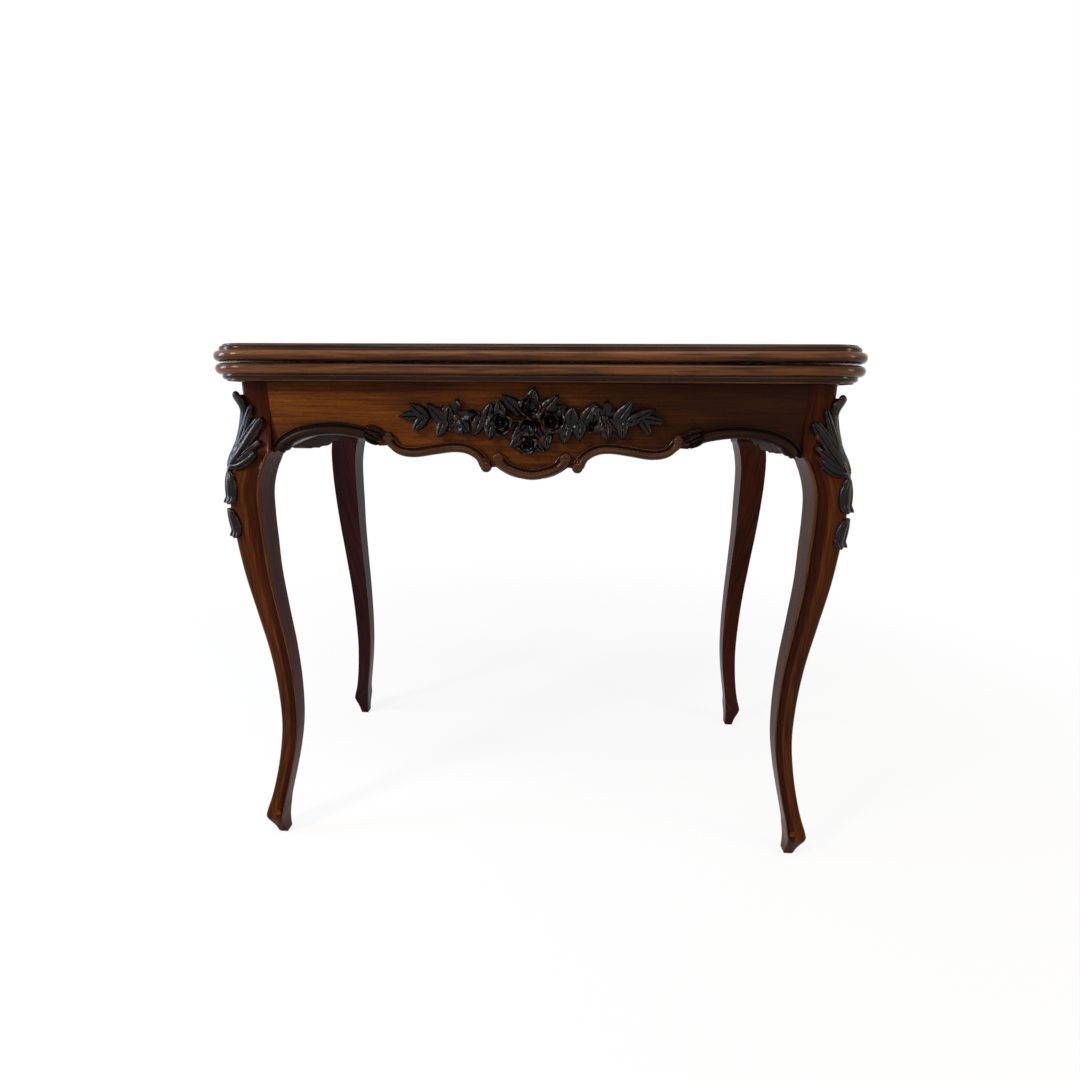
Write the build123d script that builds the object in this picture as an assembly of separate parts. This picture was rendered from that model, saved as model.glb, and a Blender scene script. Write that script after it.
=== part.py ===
from build123d import *
import math
import os

# Folding card table: a swivelling double-leaf top on a carved cabriole frame.
# Millimetres, +Z up, X along the long side, the front faces -Y, and the
# origin is on the floor under the middle of the closed top.

# Overall sizes of the closed table
table_height = 741.0
top_width = 844.0
leaf_depth = top_width / 2          # so that the open top is square
top_overhang = 34.0                 # from the posts' faces to the bead of the top

# Leaves and their moulded edge
leaf_thickness = 21.5
leaf_gap = 2.0
turning_clearance = 0.4             # between the frame and the leaf that turns on it
corner_radius = 55.0
moulding_width = 28.0
bead_height = 13.5
bead_quirk = 0.8
fillet_height = 1.2
fillet_setback = 0.5
top_arris_height = 1.5
cove_radius = leaf_thickness - bead_height - bead_quirk - fillet_height - top_arris_height
back_edge_radius = 2.5

# Baize, let into the inner face of each leaf
baize_border = 52.0
baize_thickness = 1.0
baize_recess = 1.2
baize_margin = 0.3
baize_back_border = 9.0

# Link hinges, let into the border beside the baize
joint_gap = 0.5                     # between the two leaves when they lie open
pin_depth = 3.0
pin_radius = 1.25
pin_clearance = 0.05
hinge_width = 14.0
hinge_length = 62.0
hinge_thickness = 7.2
hinge_inset = 38.0                  # from the bead to the middle of a hinge
hinge_corner_radius = 3.0
hinge_fit = 0.1
link_width = 5.0
link_end_radius = 2.6
link_clearance = 0.25
screw_radius = 2.0
screw_head_radius = 3.8
screw_head_height = 2.2
screw_length = 13.0
screw_fit = 0.1
hinge_screw_shares = (0.3, 0.56, 0.82)   # along the hinge plate

# Frame
post_width = 37.0
post_drop = 90.6                    # from the rail's top to the shoulder of the leg
post_corner_radius = 7.0
rail_thickness = 22.0
tenon_length = 24.0
tenon_thickness = 9.0
tenon_shoulder = 10.0
tenon_fit = 0.1
back_rail_height = 82.0

# Storage well
floor_thickness = 6.0
floor_groove_depth = 5.0
floor_groove_fit = 0.15
floor_drop = 62.6                   # from the rail's top to the underside of the floor
partition_thickness = 12.0
partition_top_gap = 3.0
post_notch_gap = 0.6

# Pivot of the swivelling top
bearer_width = 110.0
bearer_thickness = 24.0
bearer_tongue = 8.0
bearer_fit = 0.15
pivot_plate_radius = 34.0
pivot_plate_thickness = 3.0
spindle_radius = 8.0
spindle_clearance = 0.06
washer_radius = 22.0
washer_thickness = 2.5
washer_gap = 0.15
nut_width = 24.0
nut_chamfer = 2.0
nut_thickness = 10.0
spindle_tail = 3.0
pivot_screw_circle = 25.0
pivot_screw_count = 4
stop_radius = 46.0                  # from the pivot to the stop peg
stop_peg_radius = 4.0
stop_peg_length = 20.0
stop_peg_rise = 6.0
stop_peg_chamfer = 0.7
stop_groove_depth = 7.5
stop_groove_clearance = 0.4

# Levels and half sizes that follow
rail_top = table_height - 2 * leaf_thickness - leaf_gap - turning_clearance
leaf_underside = rail_top + turning_clearance
lower_inner_face = leaf_underside + leaf_thickness
fold_plane = lower_inner_face + leaf_gap / 2
half_width = top_width / 2
half_depth = leaf_depth / 2
frame_x = half_width - top_overhang
frame_y = half_depth - top_overhang
post_x = frame_x - post_width / 2
post_y = frame_y - post_width / 2
rail_half_length = frame_x - post_width
side_rail_half_length = frame_y - post_width
inner_x = frame_x - rail_thickness
inner_y = frame_y - rail_thickness
shoulder_height = rail_top - post_drop
floor_bottom = rail_top - floor_drop
floor_top = floor_bottom + floor_thickness
pivot_x = leaf_depth / 4
pivot_y = leaf_depth / 4
hinge_x = half_width - hinge_inset
link_length = 2 * pin_depth + leaf_gap
pin_inset = (link_length - joint_gap) / 2
pin_y = half_depth - pin_inset
lower_pin_z = lower_inner_face - pin_depth

# Cabriole leg: height, bow and girth, as shares of the shoulder's height,
# of the knee's bow and of the leg's girth, down to the toe and the foot under it
knee_bow = 22.0
leg_girth = 40.0
leg_shares = (
    (1.100, 0.00, 0.925),
    (1.058, 0.12, 0.98),
    (1.021, 0.25, 1.10),
    (0.992, 0.45, 1.20),
    (0.959, 0.74, 1.18),
    (0.917, 0.94, 1.13),
    (0.860, 1.00, 1.10),
    (0.793, 0.97, 1.05),
    (0.722, 0.91, 0.97),
    (0.615, 0.69, 0.86),
    (0.507, 0.46, 0.77),
    (0.402, 0.38, 0.71),
    (0.306, 0.47, 0.66),
    (0.231, 0.74, 0.63),
    (0.165, 1.09, 0.61),
    (0.102, 1.50, 0.64),
)

# The toe below it, which turns out and then in again to the ground
toe_shares = (
    (0.102, 1.50, 0.64),
    (0.087, 1.61, 0.68),
    (0.073, 1.69, 0.72),
    (0.062, 1.75, 0.73),
    (0.052, 1.74, 0.68),
    (0.038, 1.68, 0.57),
    (0.019, 1.59, 0.45),
    (0.000, 1.52, 0.38),
)
leg_corner_share = 0.2              # of the girth

# Lower edge of the front rail, as shares of half its length and of its depth
apron_depth = 123.4
pendant_shares = ((0.0, 1.0), (0.075, 0.972), (0.137, 0.872))
scroll_edge_shares = (
    (0.166, 0.880),
    (0.205, 0.775),
    (0.287, 0.712),
    (0.370, 0.735),
    (0.452, 0.766),
    (0.515, 0.735),
    (0.556, 0.655),
)
arch_edge_shares = (
    (0.585, 0.660),
    (0.650, 0.575),
    (0.762, 0.540),
    (0.868, 0.583),
    (0.940, 0.665),
    (1.0, 0.745),
)

# Carved rolls along that edge: middle line in the same shares, and their section
roll_projection = 9.0
pendant_roll_height = 15.5
scroll_roll_height = 14.0
arch_roll_height = 17.0
small_whorl_radius = 8.4
arch_whorl_radius = 11.0
whorl_rise = 1.5                    # of a whorl above its roll
pendant_roll_shares = ((-0.128, 0.775), (-0.085, 0.885), (0.0, 0.945), (0.085, 0.885), (0.128, 0.775))
scroll_roll_shares = (
    (0.174, 0.868),
    (0.200, 0.752),
    (0.245, 0.680),
    (0.300, 0.664),
    (0.372, 0.690),
    (0.452, 0.722),
    (0.510, 0.690),
    (0.547, 0.575),
)
arch_roll_shares = (
    (0.595, 0.575),
    (0.655, 0.515),
    (0.762, 0.478),
    (0.870, 0.515),
    (0.945, 0.605),
    (0.985, 0.715),
)

# Lower edge of the side rails, as shares of half their length and of their depth
side_apron_depth = 98.6
side_edge_shares = (
    ((0.0, 1.0), (0.24, 0.985), (0.38, 0.945), (0.44, 0.875)),
    ((0.48, 0.905), (0.60, 0.930), (0.71, 0.870), (0.82, 0.800), (0.93, 0.850), (1.0, 0.930)),
)

# Carved spray on the front: leaves as (along, up, turn, length, width) and
# flowers as (along, up, radius), in shares of the spray's half length
spray_half_length = 176.0
spray_height_share = 0.37           # of the apron's depth, below the rail's top
spray_leaf_shares = (
    (-0.93, 0.02, 180, 0.13, 0.06),
    (-0.855, 0.067, 140, 0.15, 0.07),
    (-0.855, -0.047, 230, 0.13, 0.065),
    (-0.72, 0.056, 130, 0.16, 0.07),
    (-0.68, -0.08, 250, 0.13, 0.065),
    (-0.32, 0.06, 75, 0.13, 0.078),
    (-0.41, -0.057, 250, 0.14, 0.078),
    (-0.31, -0.08, 265, 0.15, 0.075),
    (-0.157, 0.122, 135, 0.17, 0.078),
    (0.006, 0.163, 75, 0.14, 0.088),
    (0.142, 0.12, 45, 0.17, 0.075),
    (0.105, -0.157, 280, 0.14, 0.08),
    (0.25, -0.11, 260, 0.15, 0.08),
    (0.293, 0.031, 80, 0.14, 0.09),
    (0.356, -0.09, 275, 0.14, 0.08),
    (0.43, 0.064, 58, 0.16, 0.072),
    (0.55, -0.093, 285, 0.13, 0.055),
    (0.67, -0.08, 275, 0.13, 0.075),
    (0.69, 0.078, 53, 0.19, 0.075),
    (0.82, 0.042, 28, 0.20, 0.065),
    (0.905, 0.0, 352, 0.19, 0.055),
    (0.85, -0.054, 305, 0.14, 0.055),
    (-0.03, -0.10, 270, 0.16, 0.04),
    (-0.01, 0.12, 90, 0.16, 0.05),
    (-0.09, 0.05, 130, 0.20, 0.04),
)
spray_flower_shares = (
    (-0.56, 0.01, 0.078),
    (-0.425, 0.03, 0.042),
    (-0.227, -0.018, 0.085),
    (-0.013, 0.088, 0.075),
    (0.145, -0.008, 0.10),
    (-0.028, -0.043, 0.06),
    (-0.028, -0.168, 0.07),
    (0.478, -0.047, 0.05),
    (0.538, 0.01, 0.074),
)
petal_count = 5
petal_width_share = 0.72            # of the flower's radius
flower_heart_share = 0.42
stem_radius = 3.0
stem_reach_shares = (-0.99, 0.97)
stem_drop_share = 0.008
spray_leaf_stretch = 1.2            # so that each leaf's root reaches the stem or its neighbour

# Acanthus on the front knees: leaves as (turn, length, width) that fan from
# one root, and the root's place, all in shares of the leaf's height
knee_leaf_height = 98.0
knee_leaf_shares = (
    (93, 1.00, 0.13),
    (80, 0.84, 0.14),
    (66, 0.74, 0.16),
    (50, 0.50, 0.15),
    (36, 0.36, 0.14),
)
knee_root_rise_share = -0.18        # above the shoulder
knee_root_inset_share = 0.08        # from the post's outer corner
knee_root_proud_share = 0.09        # in front of the post's face
knee_leaf_lean = 6.0                # back towards the post, in degrees
# Husks below it as (height, length, width) in shares of the shoulder's height,
# with the bow and girth of the leg where they lie
husk_shares = ((0.925, 0.074, 0.028, 0.94, 1.13), (0.852, 0.058, 0.025, 1.00, 1.10))
husk_sink = 4.0                     # of a husk's middle line below the leg's corner


def block(x0, x1, y0, y1, z0, z1):
    """Box between two corners."""
    return Pos((x0 + x1) / 2, (y0 + y1) / 2, (z0 + z1) / 2) * Box(x1 - x0, y1 - y0, z1 - z0)


def upright(radius, z0, z1, x=0.0, y=0.0):
    """Vertical cylinder between two heights."""
    return Pos(x, y, (z0 + z1) / 2) * Cylinder(radius, z1 - z0)


def along_x(radius, x0, x1, y, z):
    """Cylinder that lies along X."""
    return Pos((x0 + x1) / 2, y, z) * Rot(0, 90, 0) * Cylinder(radius, x1 - x0)


def mirror_x(shape):
    """The same piece for the other end of the table."""
    return mirror(shape, Plane.YZ)


def to_upper(shape):
    """The upper leaf's copy of a piece of the lower leaf, closed over it."""
    return mirror(shape, Plane.XY.offset(fold_plane))


def in_rail(shares, depth, length=rail_half_length):
    """Points on a rail's face from shares of its half length and its depth."""
    return [(share_x * length, rail_top - share_z * depth) for share_x, share_z in shares]


# Top
def moulding_section():
    """Edge moulding: bead, quirk, fillet, cove and arris, from the inner face outwards."""
    bead_radius = bead_height / 2
    neck = -bead_radius
    fillet_edge = neck - fillet_setback
    quirk_level = bead_height + bead_quirk
    cove_level = quirk_level + fillet_height
    arris_edge = fillet_edge - cove_radius
    outline = Polyline(
        (neck, 0),
        (-moulding_width, 0),
        (-moulding_width, leaf_thickness),
        (arris_edge, leaf_thickness),
        (arris_edge, leaf_thickness - top_arris_height),
    )
    outline += RadiusArc(
        (arris_edge, leaf_thickness - top_arris_height), (fillet_edge, cove_level), cove_radius
    )
    outline += Polyline(
        (fillet_edge, cove_level),
        (fillet_edge, quirk_level),
        (fillet_edge - fillet_setback, quirk_level),
        (fillet_edge - fillet_setback, bead_height),
        (neck, bead_height),
    )
    outline += ThreePointArc((neck, bead_height), (0, bead_radius), (neck, 0))
    return make_face(outline)


def edge_moulding():
    """Moulding of the lower leaf on its front and two ends; the hinged edge has none."""
    section = moulding_section()
    turned = Rot(90, 0, 0) * section
    centre_x = half_width - corner_radius
    centre_y = corner_radius - half_depth
    side_run = half_depth - centre_y
    at_corner = Pos(corner_radius, 0, 0) * turned
    corner = revolve(at_corner, Axis.Z, 90)
    corner = Rot(0, 0, -90) * corner
    side = extrude(Pos(corner_radius, 0, 0) * turned, side_run, dir=(0, 1, 0))
    front_half = extrude(
        Rot(0, 0, -90) * at_corner, centre_x, dir=(-1, 0, 0)
    )
    end = Pos(centre_x, centre_y, 0) * (corner + side + front_half)
    ring = end + mirror_x(end)
    ring = mirror(ring, Plane.XY)
    return Pos(0, 0, lower_inner_face) * ring


def hinged_edge_round():
    """Wood taken off the inner arris of the hinged edge, so that the leaves pass."""
    radius = back_edge_radius
    corner = block(-half_width, half_width, half_depth - radius, half_depth + radius,
                   lower_inner_face - radius, lower_inner_face + radius)
    return corner - along_x(radius, -half_width, half_width, half_depth - radius,
                            lower_inner_face - radius)


def plate_blank(grow=0.0):
    """Outline of a hinge plate, or with some growth the recess that it lies in."""
    length = hinge_length + grow
    outline = Rectangle(hinge_width + 2 * grow, length)
    front_corners = outline.vertices().group_by(Axis.Y)[0]
    outline = fillet(front_corners, hinge_corner_radius + grow)
    plate = extrude(outline, -(hinge_thickness + grow))
    return Pos(hinge_x, half_depth - length / 2, lower_inner_face) * plate


def screw_places():
    """Places of the screws along one hinge plate."""
    return [half_depth - hinge_length * share for share in hinge_screw_shares]


def screw(fit=0.0):
    """Countersunk wood screw with its head's top at the origin, pointing down."""
    head = Pos(0, 0, -screw_head_height / 2) * Cone(
        screw_radius + fit, screw_head_radius + fit, screw_head_height
    )
    shank = upright(screw_radius + fit, -screw_length - fit, -screw_head_height)
    return head + shank


def hinge_plate():
    """Brass plate with its slot for the link, pin hole and countersunk screw holes."""
    plate = plate_blank()
    slot_reach = link_end_radius + link_clearance
    half_slot = link_width / 2 + link_clearance
    slot = block(hinge_x - half_slot, hinge_x + half_slot, pin_y - slot_reach, half_depth + slot_reach,
                 lower_pin_z - slot_reach, lower_inner_face + slot_reach)
    plate = plate - slot - hinged_edge_round()
    half_plate = hinge_width / 2
    plate -= along_x(pin_radius, hinge_x - half_plate, hinge_x + half_plate, pin_y, lower_pin_z)
    for y in screw_places():
        plate -= Pos(hinge_x, y, lower_inner_face) * screw(screw_fit)
    return plate


def hinge_pin(z):
    """Pin of a hinge, as long as its plate is wide."""
    half_plate = hinge_width / 2
    return along_x(pin_radius, hinge_x - half_plate, hinge_x + half_plate, pin_y, z)


def hinge_link():
    """Link that carries the upper leaf's pin over the lower leaf's pin."""
    upper_pin_z = lower_pin_z + link_length
    half_link = link_width / 2
    ends = [along_x(link_end_radius, hinge_x - half_link, hinge_x + half_link, pin_y, z)
            for z in (lower_pin_z, upper_pin_z)]
    bar = block(hinge_x - half_link, hinge_x + half_link, pin_y - link_end_radius,
                pin_y + link_end_radius, lower_pin_z, upper_pin_z)
    link = bar + ends[0] + ends[1]
    for z in (lower_pin_z, upper_pin_z):
        link -= along_x(pin_radius + pin_clearance, hinge_x - half_link, hinge_x + half_link, pin_y, z)
    return link


def hinge_recesses():
    """Recesses for both hinge plates and holes for their screws."""
    recess = plate_blank(hinge_fit)
    for y in screw_places():
        recess += Pos(hinge_x, y, lower_inner_face) * screw(screw_fit)
    return [recess, mirror_x(recess)]


def baize(grow=0.0, depth=baize_thickness):
    """Baize of a leaf, or with some growth the recess that it lies in."""
    half_cloth = half_width - baize_border + grow
    front = baize_border - half_depth - grow
    back = half_depth - baize_back_border + grow
    level = lower_inner_face - baize_recess
    return block(-half_cloth, half_cloth, front, back, level, level + depth)


def leaf_panel():
    """Panel inside the moulding, with the recesses of the baize and of the hinges."""
    inner_radius = corner_radius - moulding_width
    half_panel = half_width - moulding_width
    panel_depth = leaf_depth - moulding_width
    outline = Rectangle(2 * half_panel, panel_depth)
    front_corners = outline.vertices().group_by(Axis.Y)[0]
    outline = fillet(front_corners, inner_radius)
    panel = Pos(0, half_depth - panel_depth / 2, leaf_underside) * extrude(outline, leaf_thickness)
    panel -= baize(baize_margin, baize_recess + turning_clearance)
    panel -= hinged_edge_round()
    for recess in hinge_recesses():
        panel -= recess
    return panel


def pivot_screw_places():
    """Places of the screws in the pivot plate."""
    return [Rot(0, 0, 45 + 360 * turn / pivot_screw_count) * Pos(pivot_screw_circle, 0, 0)
            for turn in range(pivot_screw_count)]


def lower_panel():
    """Panel of the lower leaf, also recessed below for the pivot plate and the stop."""
    at_pivot = Pos(pivot_x, pivot_y, leaf_underside)
    panel = leaf_panel()
    panel -= at_pivot * upright(pivot_plate_radius + hinge_fit, 0, pivot_plate_thickness)
    groove_reach = stop_peg_radius + stop_groove_clearance
    ring = Cylinder(stop_radius + groove_reach, stop_groove_depth)
    ring -= Cylinder(stop_radius - groove_reach, stop_groove_depth)
    reach = stop_radius + groove_reach
    quarter = block(-reach, 0, -reach, 0, -stop_groove_depth, stop_groove_depth)
    groove = ring & quarter
    for place in ((-stop_radius, 0, 0), (0, -stop_radius, 0)):
        groove += Pos(*place) * Cylinder(groove_reach, stop_groove_depth)
    panel -= at_pivot * Pos(0, 0, stop_groove_depth / 2) * groove
    for place in pivot_screw_places():
        panel -= at_pivot * place * Rot(180, 0, 0) * screw(screw_fit)
    return panel


def pivot_spindle():
    """Turned iron plate and spindle, screwed to the underside of the lower leaf."""
    at_pivot = Pos(pivot_x, pivot_y, leaf_underside)
    drop = (turning_clearance + bearer_thickness + washer_gap + washer_thickness + nut_thickness
            + spindle_tail)
    plate = upright(pivot_plate_radius, 0, pivot_plate_thickness)
    plate += upright(spindle_radius, -drop, 0)
    for place in pivot_screw_places():
        plate -= place * Rot(180, 0, 0) * screw(screw_fit)
    return at_pivot * plate


def pivot_screws():
    """Screws of the pivot plate."""
    at_pivot = Pos(pivot_x, pivot_y, leaf_underside)
    return [at_pivot * place * Rot(180, 0, 0) * screw() for place in pivot_screw_places()]


def pivot_washer():
    """Washer under the bearer."""
    top = rail_top - bearer_thickness - washer_gap
    ring = upright(washer_radius, top - washer_thickness, top, pivot_x, pivot_y)
    return ring - upright(spindle_radius, top - washer_thickness, top, pivot_x, pivot_y)


def pivot_nut():
    """Square nut that holds the spindle down."""
    top = rail_top - bearer_thickness - washer_gap - washer_thickness
    half_nut = nut_width / 2
    nut = block(pivot_x - half_nut, pivot_x + half_nut, pivot_y - half_nut, pivot_y + half_nut,
                top - nut_thickness, top)
    nut = chamfer(nut.edges().filter_by(Axis.Z), nut_chamfer)
    return nut - upright(spindle_radius, top - nut_thickness, top, pivot_x, pivot_y)


# Frame
def mortise_or_tenon(fit=0.0, height=post_drop):
    """Tenon of a rail's right end, or with a fit the mortise that takes it."""
    half_tenon = tenon_thickness / 2 + fit
    return block(0, tenon_length + fit, -half_tenon, half_tenon,
                 rail_top - height + tenon_shoulder - fit, rail_top - tenon_shoulder + fit)


def front_tenon(fit=0.0, height=post_drop):
    """Right-hand tenon of the front rail."""
    return Pos(rail_half_length, rail_thickness / 2 - frame_y, 0) * mortise_or_tenon(fit, height)


def side_tenon(fit=0.0, height=post_drop):
    """Front tenon of the right side rail, cut short where the two would meet."""
    tenon = Rot(0, 0, -90) * mortise_or_tenon(fit, height)
    clear = rail_thickness / 2 + tenon_thickness / 2 + 2 * tenon_fit
    tenon = Pos(frame_x - rail_thickness / 2, -side_rail_half_length, 0) * tenon
    keep = block(-half_width, half_width, clear - frame_y, half_depth, 0, table_height)
    return tenon & keep


def shaped_face(half_edges, length):
    """Rail face with a straight top and a lower edge given for its right half."""
    right = None
    for points in half_edges:
        piece = Spline(*points)
        right = piece if right is None else right + Line(last, points[0]) + piece
        last = points[-1]
    first = half_edges[0][0]
    outline = right + Polyline(last, (length, rail_top), (0, rail_top), first)
    half = make_face(outline)
    return half + mirror(half, Plane.YZ)


def floor_board(grow=0.0):
    """Floor of the well, or with a fit the groove that it slides into."""
    reach = floor_groove_depth
    board = block(-inner_x - reach - grow, inner_x + reach + grow, -inner_y - reach - grow,
                  inner_y + reach + grow, floor_bottom - grow, floor_top + grow)
    return board


def front_rail():
    """Front rail with its shaped lower edge, grooved inside for the floor."""
    halves = (
        in_rail(pendant_shares, apron_depth),
        in_rail(scroll_edge_shares, apron_depth),
        in_rail(arch_edge_shares, apron_depth),
    )
    face = Plane.XZ * shaped_face(halves, rail_half_length)
    rail = Pos(0, rail_thickness - frame_y, 0) * extrude(face, rail_thickness)
    tenon = front_tenon()
    rail = rail + tenon + mirror_x(tenon)
    rail -= floor_board(floor_groove_fit)
    rail -= partition(bearer_fit)
    rail -= pivot_bearer_blank(bearer_fit)
    return rail


def back_rail():
    """Plain back rail with a straight lower edge."""
    rail = block(-rail_half_length, rail_half_length, inner_y, frame_y,
                 rail_top - back_rail_height, rail_top)
    tenon = mirror(front_tenon(0.0, back_rail_height), Plane.XZ)
    rail = rail + tenon + mirror_x(tenon)
    rail -= floor_board(floor_groove_fit)
    rail -= partition(bearer_fit)
    rail -= pivot_bearer_blank(bearer_fit)
    return rail


def side_rail():
    """Right side rail with its lobed lower edge."""
    halves = [in_rail(shares, side_apron_depth, side_rail_half_length) for shares in side_edge_shares]
    face = Plane.YZ * shaped_face(halves, side_rail_half_length)
    rail = Pos(inner_x, 0, 0) * extrude(face, rail_thickness)
    tenon = side_tenon()
    rail = rail + tenon + mirror(tenon, Plane.XZ)
    return rail - floor_board(floor_groove_fit)


def well_floor():
    """Floor of the well, notched round the four posts."""
    board = floor_board()
    notch_x = rail_half_length - post_notch_gap
    notch_y = side_rail_half_length - post_notch_gap
    notch = block(notch_x, half_width, notch_y, half_depth, floor_bottom, floor_top)
    for corner in (notch, mirror_x(notch)):
        board -= corner
        board -= mirror(corner, Plane.XZ)
    return board


def partition(fit=0.0):
    """Cross board between the well and the pivot, housed in both long rails."""
    reach = inner_y + bearer_tongue + fit
    return block(-partition_thickness - fit, fit, -reach, reach, floor_top,
                 rail_top - partition_top_gap + fit)


def pivot_bearer_blank(fit=0.0):
    """Cross bearer under the pivot, housed in both long rails."""
    half_bearer = bearer_width / 2 + fit
    reach = inner_y + bearer_tongue + fit
    return block(pivot_x - half_bearer, pivot_x + half_bearer, -reach, reach,
                 rail_top - bearer_thickness - fit, rail_top)


def stop_peg():
    """Peg in the bearer that ends the top's quarter turn at both ends of its groove."""
    top = rail_top + stop_peg_rise
    peg = upright(stop_peg_radius, top - stop_peg_length, top, pivot_x, pivot_y - stop_radius)
    return chamfer(peg.edges().group_by(Axis.Z)[-1], stop_peg_chamfer)


def pivot_bearer():
    """Bearer with its bores for the spindle and the stop peg."""
    bearer = pivot_bearer_blank()
    bottom = rail_top - bearer_thickness
    bearer -= upright(spindle_radius + spindle_clearance, bottom, rail_top, pivot_x, pivot_y)
    bearer -= upright(stop_peg_radius, rail_top + stop_peg_rise - stop_peg_length, rail_top,
                      pivot_x, pivot_y - stop_radius)
    return bearer


def leg_sections(shares):
    """Square cuts with rounded corners through the leg, from the top down."""
    sections = []
    for height_share, bow_share, girth_share in shares:
        bow = bow_share * knee_bow
        girth = girth_share * leg_girth
        place = Pos(post_x + bow, -post_y - bow, height_share * shoulder_height)
        sections.append(place * RectangleRounded(girth, girth, leg_corner_share * girth))
    return sections


def leg():
    """Front right cabriole leg with its post, carved from one length of wood."""
    shank = loft(leg_sections(leg_shares)) + loft(leg_sections(toe_shares), ruled=True)
    post = block(rail_half_length, frame_x, -frame_y, -side_rail_half_length, shoulder_height, rail_top)
    outer_edge = post.edges().filter_by(Axis.Z).sort_by(Axis.X)[-2:].sort_by(Axis.Y)[0]
    post = fillet(outer_edge, post_corner_radius)
    beside_post = block(0, rail_half_length, -half_depth, half_depth, shoulder_height, rail_top)
    beside_post += block(0, half_width, -side_rail_half_length, half_depth, shoulder_height, rail_top)
    whole = shank - beside_post + post
    whole -= front_tenon(tenon_fit)
    whole -= side_tenon(tenon_fit)
    return whole


# Carved work
def roll(points, height, projection, whorls):
    """Half-round roll along a rail's edge, on the plane of its face, with a whorl at some ends."""
    path = Spline(*points)
    start = path @ 0
    section = ThreePointArc((0, height / 2), (projection, 0), (0, -height / 2))
    section += Line((0, -height / 2), (0, height / 2))
    face = make_face(section)
    tangent = path % 0
    frame = Plane(origin=start, x_dir=(0, 0, 1), z_dir=tangent)
    body = sweep(frame * face, path)
    whorl_height = projection + whorl_rise
    for end, radius in whorls:
        centre = path @ end
        body += Pos(centre.X, centre.Y, whorl_height / 2) * Cylinder(radius, whorl_height)
    return body


def on_front(shape):
    """Stand a form drawn on a flat plane upright on the front rail's face."""
    return Pos(0, -frame_y, 0) * Rot(90, 0, 0) * shape


def on_side(shape):
    """Stand a form drawn on a flat plane upright on the right side rail's face."""
    return Pos(frame_x, 0, 0) * Rot(0, 0, 90) * Rot(90, 0, 0) * shape


def pendant_scroll():
    """Carved C-scroll at the middle of the front."""
    points = in_rail(pendant_roll_shares, apron_depth)
    whorls = ((0, small_whorl_radius), (1, small_whorl_radius))
    return on_front(roll(points, pendant_roll_height, roll_projection, whorls))


def s_scroll():
    """Carved S-scroll right of the middle."""
    points = in_rail(scroll_roll_shares, apron_depth)
    return on_front(roll(points, scroll_roll_height, roll_projection, ((1, small_whorl_radius),)))


def arch_scroll():
    """Carved arch between the S-scroll and the right leg."""
    points = in_rail(arch_roll_shares, apron_depth)
    return on_front(roll(points, arch_roll_height, roll_projection, ((0, arch_whorl_radius),)))


def half_spindle(length, width):
    """Crowned leaf from the origin along X, flat below."""
    profile = ThreePointArc((0, 0), (length / 2, width / 2), (length, 0)) + Line((length, 0), (0, 0))
    return revolve(make_face(profile), Axis.X, 180)


def flower(radius):
    """Open flower of crowned petals round a domed heart, flat below."""
    petal = half_spindle(radius, petal_width_share * radius)
    form = [Rot(0, 0, 90 + 360 * turn / petal_count) * petal for turn in range(petal_count)]
    heart_radius = flower_heart_share * radius
    form.append(Sphere(heart_radius, arc_size1=0, align=(Align.CENTER, Align.CENTER, Align.MIN)))
    return form


def flower_spray():
    """Spray of leaves and flowers on one stem, carved in one piece."""
    level = rail_top - spray_height_share * apron_depth
    unit = spray_half_length
    forms = []
    for along, up, turn, length, width in spray_leaf_shares:
        middle = Pos(along * unit, level + up * unit, 0) * Rot(0, 0, turn)
        tip = length * unit / 2
        long = spray_leaf_stretch * length * unit
        forms.append(middle * Pos(tip - long, 0, 0) * half_spindle(long, width * unit))
    for along, up, radius in spray_flower_shares:
        place = Pos(along * unit, level + up * unit, 0)
        forms += [place * form for form in flower(radius * unit)]
    start, end = [share * unit for share in stem_reach_shares]
    stem = half_spindle(end - start, 2 * stem_radius)
    forms.append(Pos(start, level - stem_drop_share * unit, 0) * stem)
    spray = forms[0].fuse(*forms[1:])
    return on_front(spray)


def spindle(length, width):
    """Pointed round form from the origin along X."""
    half = half_spindle(length, width)
    return half + mirror(half, Plane.XY)


def knee_leaf(right_leg):
    """Acanthus that wraps the outer corner of the right front post and knee."""
    unit = knee_leaf_height
    blades = [Rot(0, 0, 180 - turn) * spindle(length * unit, width * unit)
              for turn, length, width in knee_leaf_shares]
    fan = Rot(-knee_leaf_lean, 0, 0) * blades[0].fuse(*blades[1:])
    root_z = shoulder_height + knee_root_rise_share * unit
    inset = knee_root_inset_share * unit
    proud = knee_root_proud_share * unit
    front = on_front(Pos(frame_x - inset, root_z, proud) * fan)
    side = on_side(Pos(-frame_y + inset, root_z, proud) * mirror(fan, Plane.YZ))
    carved = (front + side) - right_leg
    return carved.solids().sort_by(SortBy.VOLUME)[-1]


def husks(right_leg):
    """Two husks below the acanthus, on the outer corner of the right front knee."""
    carved = []
    for height_share, length_share, width_share, bow_share, girth_share in husk_shares:
        girth = girth_share * leg_girth
        corner_radius_here = leg_corner_share * girth
        corner = (bow_share * knee_bow + girth / 2) * math.sqrt(2)
        corner -= corner_radius_here * (math.sqrt(2) - 1) + husk_sink
        length = length_share * shoulder_height
        width = width_share * shoulder_height
        place = Pos(post_x, -post_y, height_share * shoulder_height) * Rot(0, 0, -45)
        placed = place * Pos(corner, 0, length / 2) * Rot(0, 90, 0) * spindle(length, width)
        carved.append((placed - right_leg).solids().sort_by(SortBy.VOLUME)[-1])
    return carved


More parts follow.
